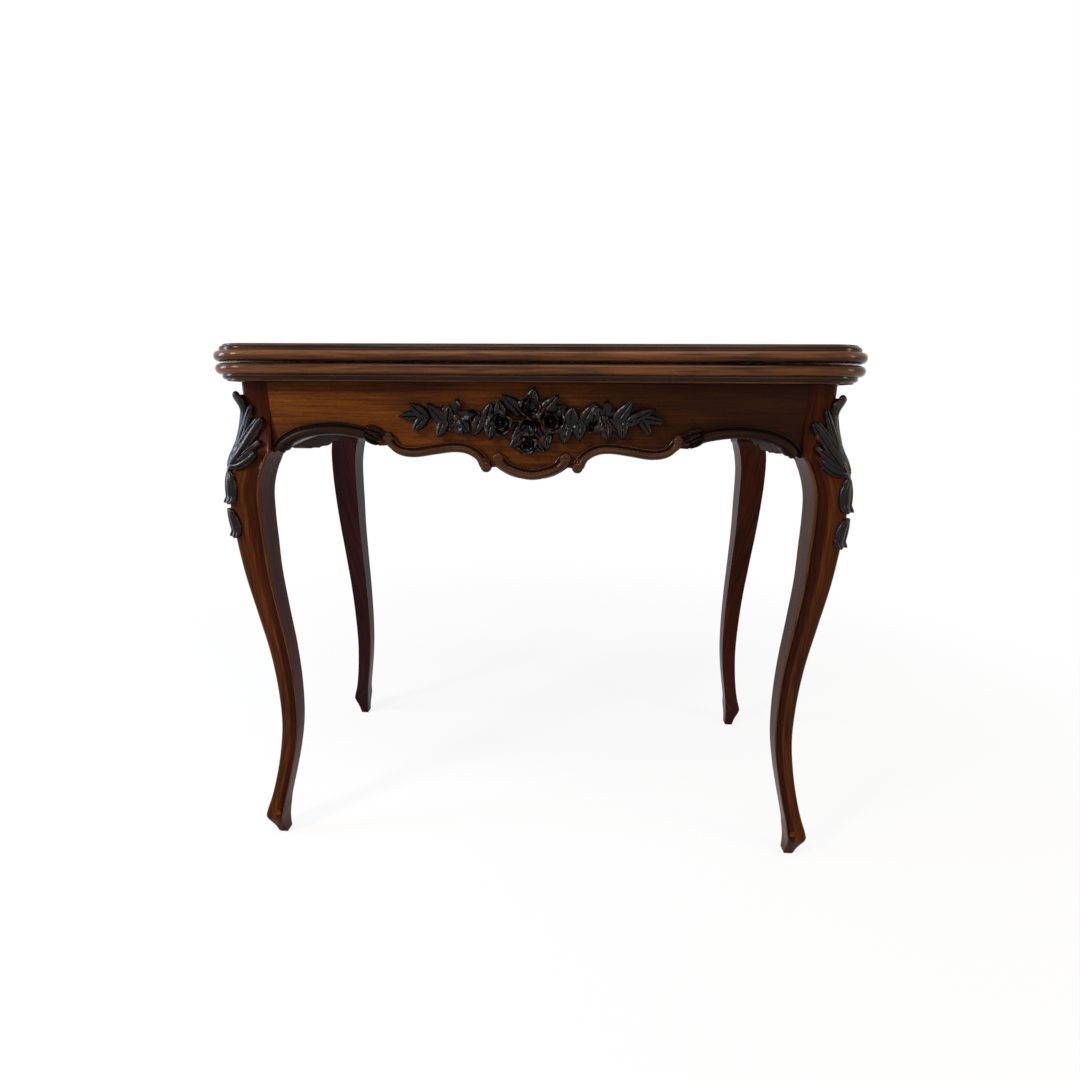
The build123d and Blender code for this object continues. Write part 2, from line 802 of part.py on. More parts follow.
def write(name, shape):
    """Write one piece, or one group of like pieces, to its STEP file."""
    if isinstance(shape, (list, tuple)):
        shape = Compound(label=name, children=list(shape))
    shape.label = name
    export_step(shape, f"parts/{name}.step")


def build():
    """Every piece of the table by its name."""
    moulding = edge_moulding() - hinged_edge_round()
    plate = hinge_plate()
    hinge_screws = [Pos(hinge_x, y, lower_inner_face) * screw() for y in screw_places()]
    hinge_screws += [mirror_x(one) for one in hinge_screws]
    lower_pin = hinge_pin(lower_pin_z)
    lower_pins = [lower_pin, mirror_x(lower_pin)]
    right_leg = leg()
    right_side = side_rail()
    s_right = s_scroll()
    arch_right = arch_scroll() - s_right - right_leg
    link = hinge_link()
    right_knee_leaf = knee_leaf(right_leg)
    right_husks = husks(right_leg)
    back_right_leg = mirror(right_leg, Plane.XZ)
    return {
        "front_rail": front_rail(),
        "back_rail": back_rail(),
        "side_rail_right": right_side,
        "side_rail_left": mirror_x(right_side),
        "leg_front_right": right_leg,
        "leg_front_left": mirror_x(right_leg),
        "leg_back_right": back_right_leg,
        "leg_back_left": mirror_x(back_right_leg),
        "well_floor": well_floor(),
        "well_partition": partition(),
        "pivot_bearer": pivot_bearer(),
        "stop_peg": stop_peg(),
        "pendant_scroll": pendant_scroll(),
        "s_scroll_right": s_right,
        "s_scroll_left": mirror_x(s_right),
        "arch_scroll_right": arch_right,
        "arch_scroll_left": mirror_x(arch_right),
        "flower_spray": flower_spray(),
        "knee_leaf_right": right_knee_leaf,
        "knee_leaf_left": mirror_x(right_knee_leaf),
        "knee_husks_right": right_husks,
        "knee_husks_left": [mirror_x(one) for one in right_husks],
        "lower_leaf_panel": lower_panel(),
        "lower_leaf_moulding": moulding,
        "lower_baize": baize(),
        "pivot_spindle": pivot_spindle(),
        "pivot_screws": pivot_screws(),
        "pivot_washer": pivot_washer(),
        "pivot_nut": pivot_nut(),
        "lower_hinge_plate_right": plate,
        "lower_hinge_plate_left": mirror_x(plate),
        "lower_hinge_screws": hinge_screws,
        "lower_hinge_pins": lower_pins,
        "hinge_link_right": link,
        "hinge_link_left": mirror_x(link),
        "upper_leaf_panel": to_upper(leaf_panel()),
        "upper_leaf_moulding": to_upper(moulding),
        "upper_baize": to_upper(baize()),
        "upper_hinge_plate_right": to_upper(plate),
        "upper_hinge_plate_left": to_upper(mirror_x(plate)),
        "upper_hinge_screws": [to_upper(one) for one in hinge_screws],
        "upper_hinge_pins": [to_upper(one) for one in lower_pins],
    }


os.makedirs("parts", exist_ok=True)
for piece_name, piece in build().items():
    write(piece_name, piece)
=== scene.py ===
import math
import random

import bpy
from mathutils import Matrix, Vector


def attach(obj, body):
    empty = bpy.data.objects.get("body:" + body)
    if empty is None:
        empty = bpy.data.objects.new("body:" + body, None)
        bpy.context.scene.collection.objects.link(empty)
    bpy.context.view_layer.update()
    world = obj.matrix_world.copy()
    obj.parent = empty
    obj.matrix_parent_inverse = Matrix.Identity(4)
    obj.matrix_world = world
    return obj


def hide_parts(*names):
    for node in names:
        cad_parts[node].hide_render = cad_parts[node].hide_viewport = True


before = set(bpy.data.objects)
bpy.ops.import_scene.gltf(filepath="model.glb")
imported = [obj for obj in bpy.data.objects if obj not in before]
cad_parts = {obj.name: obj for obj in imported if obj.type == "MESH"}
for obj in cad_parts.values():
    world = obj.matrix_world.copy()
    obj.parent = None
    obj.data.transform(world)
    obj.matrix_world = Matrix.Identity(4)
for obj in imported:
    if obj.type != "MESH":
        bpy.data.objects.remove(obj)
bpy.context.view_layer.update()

MM = 0.001

# sizes of the table in millimetres, as in the part
table_height = 741.0
top_width = 844.0
leaf_depth = top_width / 2
leaf_thickness = 21.5
leaf_gap = 2.0
turning_clearance = 0.4
corner_radius = 55.0
moulding_width = 28.0
bead_height = 13.5
back_edge_radius = 2.5
top_overhang = 34.0
post_width = 37.0
leg_girth = 40.0
knee_bow = 22.0
baize_border = 52.0
baize_back_border = 9.0
baize_recess = 1.2
half_width = top_width / 2
half_depth = leaf_depth / 2
rail_top = table_height - 2 * leaf_thickness - leaf_gap - turning_clearance
lower_inner_face = rail_top + turning_clearance + leaf_thickness
upper_inner_face = lower_inner_face + leaf_gap
frame_x = half_width - top_overhang
frame_y = half_depth - top_overhang
post_x = frame_x - post_width / 2
post_y = frame_y - post_width / 2
rail_half_length = frame_x - post_width
shoulder_height = 605.0
apron_depth = 123.4

# carving is let this far into the wood that carries it
seat = 0.2
# turn of what is built flat and then stood up against the rail
upright = (math.radians(90), 0.0, 0.0)


# small tools
def linear(code):
    """sRGB hex to linear colour."""
    values = [int(code[i:i + 2], 16) / 255 for i in (1, 3, 5)]
    return [v / 12.92 if v <= 0.04045 else ((v + 0.055) / 1.055) ** 2.4 for v in values] + [1.0]


def lerp(a, b, t):
    """Value the share t of the way from a to b."""
    return a + (b - a) * t


def smooth(t):
    """Soft step from 0 to 1."""
    t = min(1.0, max(0.0, t))
    return t * t * (3 - 2 * t)


def spread(count):
    """Even places across a width, from -1 to 1."""
    return [-1 + 2 * j / (count - 1) for j in range(count)]


def bell(value, middle, width):
    """1 at the middle, falling off to both sides over the width."""
    return math.exp(-((value - middle) / width) ** 2)


def ruler(points):
    """Distance along a line of points at each of them."""
    marks = [0.0]
    for a, b in zip(points, points[1:]):
        marks.append(marks[-1] + math.dist(a, b))
    return marks


def curve_through(points, steps):
    """Even points on a smooth line through the given points, and the line's length."""
    between = 24
    given = [Vector(p) for p in points]
    given = [2 * given[0] - given[1]] + given + [2 * given[-1] - given[-2]]
    fine = []
    for i in range(1, len(given) - 2):
        p0, p1, p2, p3 = given[i - 1:i + 3]
        for k in range(between):
            t = k / between
            fine.append(0.5 * (2 * p1 + (p2 - p0) * t + (2 * p0 - 5 * p1 + 4 * p2 - p3) * t * t
                               + (3 * p1 - p0 - 3 * p2 + p3) * t * t * t))
    fine.append(given[-2])
    lengths = [0.0]
    for a, b in zip(fine, fine[1:]):
        lengths.append(lengths[-1] + (b - a).length)
    line, k = [], 0
    for i in range(steps + 1):
        want = lengths[-1] * i / steps
        while k < len(fine) - 2 and lengths[k + 1] < want:
            k += 1
        span = lengths[k + 1] - lengths[k] or 1.0
        line.append(fine[k].lerp(fine[k + 1], (want - lengths[k]) / span))
    return line, lengths[-1]


def across_line(line, i):
    """Unit vector square to a flat line at one of its points."""
    a, b = line[max(0, i - 1)], line[min(len(line) - 1, i + 1)]
    return Vector((-(b - a).y, (b - a).x, 0)).normalized()


def table_value(rows, key, column):
    """Smooth value of a column of a table whose first column is the key, in order."""
    keys = [row[0] for row in rows]
    if keys[0] > keys[-1]:
        rows, keys = rows[::-1], keys[::-1]
    if key <= keys[0]:
        return rows[0][column]
    if key >= keys[-1]:
        return rows[-1][column]
    i = max(k for k in range(len(keys) - 1) if keys[k] <= key)
    here, ahead = rows[i][column], rows[i + 1][column]
    span = keys[i + 1] - keys[i]
    slope = (ahead - here) / span
    before = after = slope
    if i > 0:
        before = (here - rows[i - 1][column]) / (keys[i] - keys[i - 1])
    if i + 2 < len(keys):
        after = (rows[i + 2][column] - ahead) / (keys[i + 2] - keys[i + 1])
    first, last = (before + slope) / 2, (slope + after) / 2
    t = (key - keys[i]) / span
    return ((2 * t ** 3 - 3 * t ** 2 + 1) * here + (t ** 3 - 2 * t ** 2 + t) * span * first
            + (-2 * t ** 3 + 3 * t ** 2) * ahead + (t ** 3 - t ** 2) * span * last)


class Form:
    """Vertices in millimetres, faces, a grain coordinate and a wear value for each vertex."""

    def __init__(self):
        self.verts, self.faces, self.grain, self.wear = [], [], [], []

    def skin(self, rings, grains=None):
        """Closed skin over rings of (x, y, z, wear): each joined to the next, the two ends filled."""
        start, n = len(self.verts), len(rings[0])
        for i, ring in enumerate(rings):
            self.verts += [tuple(point[:3]) for point in ring]
            self.wear += [point[3] for point in ring]
            self.grain += grains[i] if grains else [(0.0, 0.0)] * n
        for i in range(len(rings) - 1):
            for j in range(n):
                a, b = start + i * n + j, start + i * n + (j + 1) % n
                self.faces.append((a, b, b + n, a + n))
        last = len(self.verts) - n
        self.faces += [tuple(range(start, start + n))[::-1], tuple(range(last, last + n))]
        return self

    def flipped(self):
        """The same form with its faces turned over."""
        self.faces = [face[::-1] for face in self.faces]
        return self

    def mirrored(self, axis=0):
        """The same form on the other side of the middle, with other grain."""
        other = Form()
        sign = [1, 1, 1]
        sign[axis] = -1
        other.verts = [(x * sign[0], y * sign[1], z * sign[2]) for x, y, z in self.verts]
        other.faces = [face[::-1] for face in self.faces]
        other.grain = [(u + 0.37, v + 0.11) for u, v in self.grain]
        other.wear = list(self.wear)
        return other

    def join(self, other):
        """Adds another form."""
        n = len(self.verts)
        self.verts += other.verts
        self.faces += [tuple(i + n for i in face) for face in other.faces]
        self.grain += other.grain
        self.wear += other.wear
        return self

    def mesh(self, name):
        """Mesh with its UV map and wear, in metres."""
        mesh = bpy.data.meshes.new(name)
        mesh.from_pydata([(x * MM, y * MM, z * MM) for x, y, z in self.verts], [], self.faces)
        layer = mesh.uv_layers.new(name="grain")
        for loop in mesh.loops:
            layer.data[loop.index].uv = self.grain[loop.vertex_index]
        worn = mesh.attributes.new("worn", "FLOAT", "POINT")
        worn.data.foreach_set("value", self.wear)
        mesh.validate()
        mesh.update()
        return mesh

    def take(self, mesh):
        """Adds a swept mesh with its grain and wear."""
        n = len(self.verts)
        self.verts += [tuple(c / MM for c in v.co) for v in mesh.vertices]
        self.faces += [tuple(i + n for i in face.vertices) for face in mesh.polygons]
        grain = [(0.0, 0.0)] * len(mesh.vertices)
        for loop, pair in zip(mesh.loops, mesh.uv_layers["grain"].data):
            grain[loop.vertex_index] = tuple(pair.uv)
        self.grain += grain
        self.wear += [entry.value for entry in mesh.attributes["worn"].data]
        return self

    def piece(self, name, material, body, slot, replaced, sharp=35.0):
        """Blender object at the origin, riding on its body."""
        mesh = self.mesh(name)
        mesh.materials.append(material)
        return dress(mesh, name, body, replaced, sharp)

    def pair(self, name, material, slot, replaced, sharp=35.0):
        """The right piece and its mirror image on the left of the frame."""
        for side, form in (("right", self), ("left", self.mirrored())):
            form.piece(name.format(side), material, "frame", slot, replaced.format(side), sharp)


def dress(mesh, name, body, replaced, sharp=35.0):
    """Blender object of a finished mesh at the origin, riding on its body in place of a CAD node."""
    mesh.shade_smooth()
    mesh.set_sharp_from_angle(angle=math.radians(sharp))
    made = bpy.data.objects.new(name, mesh)
    bpy.context.scene.collection.objects.link(made)
    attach(made, body)
    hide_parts(replaced)
    return made


def fill(tree, made, inputs):
    """Fills a node's inputs: each with a value, a socket or another node's first output."""
    for key, value in inputs.items():
        if isinstance(value, bpy.types.Node):
            value = value.outputs[0]
        if isinstance(value, bpy.types.NodeSocket):
            tree.links.new(value, made.inputs[key])
        else:
            made.inputs[key].default_value = value


def node(tree, kind, inputs=None, stops=(), **settings):
    """Adds a node with its settings, the stops of its ramp and its inputs."""
    made = tree.nodes.new(kind)
    for key, value in settings.items():
        setattr(made, key, value)
    fill(tree, made, inputs or {})
    if stops:
        elements = made.color_ramp.elements
        while len(elements) < len(stops):
            elements.new(0.5)
        for element, (position, colour) in zip(elements, stops):
            element.position = position
            element.color = linear(colour) if isinstance(colour, str) else [colour] * 3 + [1.0]
    return made


# growing repeated and swept forms
def socket_kind(value):
    """Kind of socket that takes a value of this kind."""
    kinds = ((bool, "Bool"), (int, "Int"), (float, "Float"), (bpy.types.Object, "Object"),
             (bpy.types.Material, "Material"), (tuple, "Vector"))
    return "NodeSocket" + next(word for kind, word in kinds if isinstance(value, kind))


class Grower:
    """A geometry tree with named inputs, whose evaluated result becomes a plain mesh."""

    def __init__(self, name, values):
        self.tree = bpy.data.node_groups.new(name, "GeometryNodeTree")
        self.values = {
            **values, "Place": (0.0, 0.0, 0.0), "Turn": (0.0, 0.0, 0.0), "Mirror": (1.0, 1.0, 1.0)}
        face = self.tree.interface
        face.new_socket("Geometry", in_out="INPUT", socket_type="NodeSocketGeometry")
        self.keys = {key: face.new_socket(key, in_out="INPUT", socket_type=socket_kind(value)).identifier
                     for key, value in self.values.items()}
        face.new_socket("Geometry", in_out="OUTPUT", socket_type="NodeSocketGeometry")
        self.inputs = self.tree.nodes.new("NodeGroupInput").outputs
        self.shapes = {
            key: self.node("GeometryNodeObjectInfo", {"Object": self.inputs[key]}).outputs["Geometry"]
            for key, value in values.items() if isinstance(value, bpy.types.Object)}

    def node(self, kind, inputs=None, **settings):
        """Adds a node to this tree."""
        return node(self.tree, kind, inputs, **settings)

    def instances(self, points, piece):
        """One copy of the piece on each point, with the turn and the size that the point holds."""
        turn, size = [self.node("GeometryNodeInputNamedAttribute", {"Name": key}, data_type="FLOAT_VECTOR")
                      for key in ("turn", "size")]
        dots = self.node("GeometryNodeMeshToPoints", {"Mesh": points})
        return self.node("GeometryNodeInstanceOnPoints", {
            "Points": dots, "Instance": piece, "Scale": size,
            "Rotation": self.node("FunctionNodeEulerToRotation", {0: turn})})

    def finish(self, geometry):
        """Ends the tree: real geometry, placed, in its material."""
        real = self.node("GeometryNodeRealizeInstances", {0: geometry})
        placed = self.node("GeometryNodeTransform", {
            "Geometry": real, "Translation": self.inputs["Place"], "Scale": self.inputs["Mirror"],
            "Rotation": self.node("FunctionNodeEulerToRotation", {0: self.inputs["Turn"]})})
        whole = self.node("GeometryNodeSetMaterial", {
            "Geometry": placed, "Material": self.inputs["Material"]})
        self.node("NodeGroupOutput", {0: whole})
        return self

    def mesh(self, name, source, values):
        """Plain mesh that the tree makes from a source mesh with some inputs of its own."""
        carrier = bpy.data.objects.new(name + "_source", source)
        bpy.context.scene.collection.objects.link(carrier)
        growth = carrier.modifiers.new("growth", "NODES")
        growth.node_group = self.tree
        for key, value in {**self.values, **values}.items():
            growth[self.keys[key]] = value
        graph = bpy.context.evaluated_depsgraph_get()
        made = bpy.data.meshes.new_from_object(carrier.evaluated_get(graph))
        made.name = name
        carrier.modifiers.remove(growth)
        bpy.data.objects.remove(carrier)
        return made


helpers = []


def points_mesh(name, points, attributes=None, closed=None):
    """Mesh of points in millimetres with values; closed joins them in a line or, if true, a ring."""
    made = bpy.data.meshes.new(name)
    edges = [(i, i + 1) for i in range(len(points) - 1)] if closed is not None else []
    if closed:
        edges.append((len(points) - 1, 0))
    made.from_pydata([[c * MM for c in p] for p in points], edges, [])
    for key, values in (attributes or {}).items():
        vector = isinstance(values[0], (tuple, list))
        layer = made.attributes.new(key, "FLOAT_VECTOR" if vector else "FLOAT", "POINT")
        flat = [c for v in values for c in v] if vector else list(values)
        layer.data.foreach_set("vector" if vector else "value", flat)
    return made


def helper(mesh):
    """Object that only carries a shape into a tree, and is taken away at the end."""
    made = bpy.data.objects.new(mesh.name, mesh)
    bpy.context.scene.collection.objects.link(made)
    made.hide_render = True
    helpers.append(made)
    return made


nothing = helper(points_mesh("nothing", [(0, 0, 0)]))


# materials
# grime and painted shade laid into hollows, where the worn value is below zero
grime_and_shade_black = "#0a0503"


def surface(name):
    """Empty material with its nodes and its shader."""
    made = bpy.data.materials.new(name)
    made.use_nodes = True
    tree = made.node_tree
    tree.nodes.clear()
    shader = node(tree, "ShaderNodeBsdfPrincipled")
    node(tree, "ShaderNodeOutputMaterial", {"Surface": shader})
    return made, tree, shader


def polished_wood(name, dark, middle, light, worn=None, wear=0.0, along="X", heart=None, roughness=0.3,
                  coat=0.0, figure=1.0, gloss=0.05):
    """Rosewood or beech: long dark figure, fine fibres, short open pores.

    along is the axis of the grain, or "grain" where it follows the piece's own map. worn is the
    colour of rubbed crests, and grime and painted shade lie in the hollows. heart is the dark colour
    at one end: darker wood, and painted shade of the light falling off there.
    """
    made, tree, shader = surface(name)
    if along == "grain":
        source = node(tree, "ShaderNodeUVMap", uv_map="grain").outputs[0]
    else:
        source = node(tree, "ShaderNodeTexCoord").outputs["Object"]
    turn = math.radians(-90) if along == "Y" else 0.0
    aligned = node(tree, "ShaderNodeMapping", {"Vector": source, "Rotation": (0, 0, turn)})

    def stretched(length_mm, width_mm, detail, distortion=0.0):
        """Marks of this length along the grain and this width across it."""
        scaled = node(tree, "ShaderNodeMapping", {
            "Vector": aligned, "Scale": (1000 / length_mm, 1000 / width_mm, 1000 / width_mm)})
        return node(tree, "ShaderNodeTexNoise", {
            "Vector": scaled, "Scale": 1.0, "Detail": detail, "Roughness": 0.55, "Distortion": distortion})

    # real fibres and pores are under 0.3 mm wide, and drawn wider here so that they show
    broad = stretched(420, 34, 5, 0.9)
    streak = stretched(190, 7, 4, 0.4)
    fibre = stretched(45, 0.9, 3)
    pore = stretched(7, 0.8, 1)
    broad_share, streak_share, fibre_share = 0.42 * figure, 0.36, 0.34
    mix = node(tree, "ShaderNodeMath", {0: broad, 1: broad_share}, operation="MULTIPLY")
    for mark, share in ((streak, streak_share), (fibre, fibre_share)):
        mix = node(tree, "ShaderNodeMath", {0: mark, 1: share, 2: mix}, operation="MULTIPLY_ADD")
    centre = (broad_share + streak_share + fibre_share) / 2
    colour = node(tree, "ShaderNodeValToRGB", {"Fac": mix}, [
        (centre - 0.16, dark), (centre - 0.02, middle), (centre + 0.13, light)])
    # what lies over the figure, from the wood outwards: how much of it, and its colour
    layers = []
    if heart:
        # darker wood and painted shade of the light falling off: deepens over about 320 mm from the middle
        # to the right, its edge drifting with the figure
        across = node(tree, "ShaderNodeSeparateXYZ", {0: aligned})
        drift = node(tree, "ShaderNodeMath", {0: broad, 1: 0.5, 2: across}, operation="MULTIPLY_ADD")
        painted_shade_share = node(tree, "ShaderNodeMapRange", {
            "Value": drift, "From Min": 0.18, "From Max": 0.5, "To Min": 0.0, "To Max": 0.85},
            interpolation_type="SMOOTHSTEP")
        layers.append((painted_shade_share, heart))
    pores = node(tree, "ShaderNodeValToRGB", {"Fac": pore}, [(0.62, 0.0), (0.72, 1.0)])
    filled = node(tree, "ShaderNodeMath", {0: pores, 1: 0.75}, operation="MULTIPLY")
    layers.append((filled, dark))
    if worn:
        wear_and_shade_value = node(tree, "ShaderNodeAttribute", attribute_name="worn").outputs["Fac"]
        patches = node(tree, "ShaderNodeValToRGB", {"Fac": stretched(60, 3, 4)}, [
            (0.36, 0.15), (0.62, 1.0)])
        rubbed = node(tree, "ShaderNodeMath", {0: wear_and_shade_value, 1: patches}, operation="MULTIPLY")
        rubbed = node(tree, "ShaderNodeMath", {0: rubbed, 1: wear}, operation="MULTIPLY", use_clamp=True)
        # below zero the worn value lays grime and painted shade into the hollows
        grime_and_shade = node(tree, "ShaderNodeMath", {0: wear_and_shade_value, 1: -1.0}, operation="MULTIPLY", use_clamp=True)
        layers += [(rubbed, worn), (grime_and_shade, grime_and_shade_black)]
    for amount, over in layers:
        colour = node(tree, "ShaderNodeMix", {
            "Factor": amount, 6: colour, 7: linear(over)}, data_type="RGBA").outputs[2]
    height = node(tree, "ShaderNodeMath", {0: pores, 1: -0.6, 2: fibre}, operation="MULTIPLY_ADD")
    bump = node(tree, "ShaderNodeBump", {"Height": height, "Strength": 0.12, "Distance": 0.6 * MM})
    rough = node(tree, "ShaderNodeMapRange", {
        "Value": streak, "To Min": roughness - 0.06, "To Max": roughness + 0.10})
    fill(tree, shader, {
        "Base Color": colour, "Normal": bump, "Roughness": rough, "Specular IOR Level": gloss,
        "Coat Weight": coat, "Coat Roughness": 0.12})
    return made


def ebonised(name):
    """Pearwood stained black and polished: blue-black with brown wood rubbed through on the edges."""
    made, tree, shader = surface(name)
    patch_mm, speckle_mm = 9.09, 1.43
    place = node(tree, "ShaderNodeTexCoord").outputs["Object"]
    worn = node(tree, "ShaderNodeAttribute", attribute_name="worn").outputs["Fac"]
    patch = node(tree, "ShaderNodeTexNoise", {
        "Vector": place, "Scale": 1000 / patch_mm, "Detail": 4.0, "Roughness": 0.6})
    patches = node(tree, "ShaderNodeValToRGB", {"Fac": patch}, [(0.52, 0.0), (0.66, 0.9)])
    rubbed = node(tree, "ShaderNodeMath", {0: worn, 1: patches}, operation="MULTIPLY", use_clamp=True)
    speckle = node(tree, "ShaderNodeTexNoise", {"Vector": place, "Scale": 1000 / speckle_mm, "Detail": 2.0})
    stain = node(tree, "ShaderNodeValToRGB", {"Fac": speckle}, [(0.35, "#070606"), (0.7, "#0f0d0c")])
    colour = node(tree, "ShaderNodeMix", {
        "Factor": rubbed, 6: stain, 7: linear("#5c331b")}, data_type="RGBA").outputs[2]
    bump = node(tree, "ShaderNodeBump", {"Height": speckle, "Strength": 0.035, "Distance": 0.6 * MM})
    fill(tree, shader, {
        "Base Color": colour, "Normal": bump, "Roughness": 0.25, "Specular IOR Level": 0.15,
        "Coat Weight": 0.04, "Coat Roughness": 0.16})
    return made


def wool_baize(name):
    """Green wool baize: a felted nap with faint mottling and a soft sheen."""
    made, tree, shader = surface(name)
    # the fibres are far finer than this nap, which is as coarse as it has to be to show
    nap_mm, patch_mm = 1.11, 111
    place = node(tree, "ShaderNodeTexCoord").outputs["Object"]
    nap = node(tree, "ShaderNodeTexNoise", {
        "Vector": place, "Scale": 1000 / nap_mm, "Detail": 3.0, "Roughness": 0.7})
    patch = node(tree, "ShaderNodeTexNoise", {"Vector": place, "Scale": 1000 / patch_mm, "Detail": 4.0})
    mix = node(tree, "ShaderNodeMath", {0: nap, 1: 0.5, 2: patch}, operation="MULTIPLY_ADD")
    colour = node(tree, "ShaderNodeValToRGB", {"Fac": mix}, [
        (0.45, "#1d4229"), (0.78, "#28573a"), (1.0, "#356347")])
    bump = node(tree, "ShaderNodeBump", {"Height": nap, "Strength": 0.5, "Distance": 0.7 * MM})
    fill(tree, shader, {
        "Base Color": colour, "Normal": bump, "Roughness": 0.95, "Specular IOR Level": 0.2,
        "Sheen Weight": 0.35, "Sheen Roughness": 0.5})
    return made


def metal(name, colour, tarnish, roughness, patch_mm):
    """Old hardware: bare metal with darker, duller tarnish in patches."""
    made, tree, shader = surface(name)
    place = node(tree, "ShaderNodeTexCoord").outputs["Object"]
    patch = node(tree, "ShaderNodeTexNoise", {
        "Vector": place, "Scale": 1000 / patch_mm, "Detail": 5.0, "Roughness": 0.65})
    shade = node(tree, "ShaderNodeValToRGB", {"Fac": patch}, [(0.35, tarnish), (0.65, colour)])
    rough = node(tree, "ShaderNodeMapRange", {
        "Value": patch, "To Min": roughness + 0.2, "To Max": roughness})
    bump = node(tree, "ShaderNodeBump", {"Height": patch, "Strength": 0.1, "Distance": 0.4 * MM})
    fill(tree, shader, {"Base Color": shade, "Normal": bump, "Roughness": rough, "Metallic": 1.0})
    return made


# French polish over rosewood, red-brown and nearly black in the figure, with a dull gloss
panel_wood = polished_wood(
    "polished_rosewood_top", "#1c0d07", "#4a2411", "#6b3a1c", roughness=0.26)
# the apron is the warmest board: golden brown on the left, running into darker wood and painted shade of
# the falling light on the right
rail_wood = polished_wood(
    "polished_rosewood_front", "#180a03", "#4a2509", "#6c3b11", heart="#1a0a04")
# the side rails are painted darker for the shadow they hang in, and keep little of their polish
side_wood_painted_shade = polished_wood(
    "polished_rosewood_side", "#120603", "#281207", "#3a1d0c", along="Y", roughness=0.4, gloss=0.03)
# beech left unpolished inside and behind: dull and greyed by age
back_wood = polished_wood(
    "aged_beech_back", "#4e3322", "#734f36", "#8c6648", roughness=0.75)
cross_wood = polished_wood(
    "aged_beech_cross", "#4e3322", "#734f36", "#8c6648", along="Y", roughness=0.75)
# the lower leaf's underside was stained and never polished: without gloss, and dark partly as painted shade
# under the top
dull_underside_painted_shade = polished_wood(
    "stained_underside", "#120804", "#2a160b", "#3a2010", roughness=0.9, gloss=0.02)
# moulded edges are handled most: worn to a lighter, rosier brown on the crests
edge_wood = polished_wood(
    "polished_rosewood_moulding", "#0c0401", "#32180b", "#623a1b", "#996232", 0.4, "grain",
    roughness=0.15, coat=0.05, gloss=0.1, figure=0.9)
# legs: reddish brown with the light showing orange where the polish is thin
leg_wood = polished_wood(
    "polished_rosewood_leg", "#0e0301", "#2f1003", "#4a1e05", "#8a5322", 0.4, "grain",
    roughness=0.19, coat=0.03, gloss=0.03)
# the two back legs are duller, and the left one is tinted purple: mostly a painted reflection, with some
# wood of a more purple tone
back_leg_wood = polished_wood(
    "polished_rosewood_back_leg", "#160602", "#331103", "#461d07", "#573014", 0.2, "grain",
    roughness=0.28)
leg_wood_painted_reflection = polished_wood(
    "polished_rosewood_red_leg", "#0e0405", "#230b0c", "#331311", "#452017", 0.2, "grain",
    roughness=0.28)
# carved rolls: dark with grime and painted shade in the hollows, rubbed brown and shining on the crests
scroll_wood = polished_wood(
    "polished_carved_moulding", "#0b0401", "#200f05", "#36190a", "#73451f", 0.5, "grain",
    roughness=0.17, coat=0.04, gloss=0.07, figure=0.7)
# the arches are stained almost black
arch_wood = polished_wood(
    "stained_carved_arch", "#070403", "#140a07", "#20120c", "#4e3122", 0.3, "grain",
    roughness=0.24, gloss=0.04, figure=0.5)
# carving: a cool black with brown showing on the rubbed edges
carving_wood = ebonised("ebonised_pearwood")
# baize: matt, cool green, a little paler where the nap catches the light
baize_cloth = wool_baize("green_wool_baize")
# brass dulled to a warm brown-gold, and forged iron left black from the fire
old_brass = metal("aged_brass", "#a5823f", "#836330", 0.3, 11.1)
black_iron = metal("blackened_iron", "#4a4644", "#26221f", 0.5, 6.25)

# the solids that are shown as they are; the rest of them is brass, or iron at the pivot
finish_of = {
    "front_rail": rail_wood, "back_rail": back_wood, "side_rail_right": side_wood_painted_shade,
    "side_rail_left": side_wood_painted_shade, "well_floor": back_wood, "well_partition": cross_wood,
    "pivot_bearer": cross_wood, "stop_peg": old_brass, "lower_leaf_panel": panel_wood,
    "upper_leaf_panel": panel_wood,
}
for name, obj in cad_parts.items():
    material = finish_of.get(name, black_iron if name.startswith("pivot_") else old_brass)
    if not obj.data.materials:
        obj.data.materials.append(material)
    for slot in obj.material_slots:
        slot.material = material


# moulded edge of each leaf
def moulding_profile():
    """Offset inwards from the bead and depth from the inner face, with wear on what stands proud and grime
    and painted shade in what lies deep.
    """
    bead = bead_height / 2
    quirk, fillet, square = 0.8, 1.2, 1.5
    points = []
    # the bead is rubbed on its crest, and darkened by the leaves' gap with grime and painted shade
    for k in range(15):
        turn = math.radians(-90 + 180 * k / 14)
        points.append((bead - bead * math.cos(turn), bead + bead * math.sin(turn),
                       0.9 * bell(k, 9, 3.0) - 0.7 * bell(k, 0, 2.5)))
    # a quirk under the bead, and a small fillet before the cove; the quirk and the start of the cove take
    # grime and painted shade
    points += [(bead + 0.5, bead_height, -0.7), (bead + 1.2, bead_height + 0.05, -1.0),
               (bead + 1.2, bead_height + quirk, -0.9), (bead + 0.6, bead_height + 0.85, 0.3),
               (bead + 0.5, bead_height + fillet, 1.0), (bead + 0.6, bead_height + 1.95, 0.3)]
    cove = leaf_thickness - bead_height - quirk - fillet - square
    root, rise = bead + 0.5, bead_height + quirk + fillet
    for k in range(1, 9):
        turn = math.radians(90 * k / 8)
        points.append((root + cove * (1 - math.cos(turn)), rise + cove * math.sin(turn),
                       -0.75 * bell(k, 2, 2.5)))
    edge = root + cove
    points += [(edge + 0.1, leaf_thickness - square, 0.2), (edge + 0.05, leaf_thickness - 0.5, 1.0),
               (edge + 0.5, leaf_thickness, 0.7), (edge + 2.0, leaf_thickness, 0.0),
               (moulding_width, leaf_thickness, 0.0), (moulding_width, 0.0, 0.0), (bead + 6.0, 0.0, 0.0)]
    return points


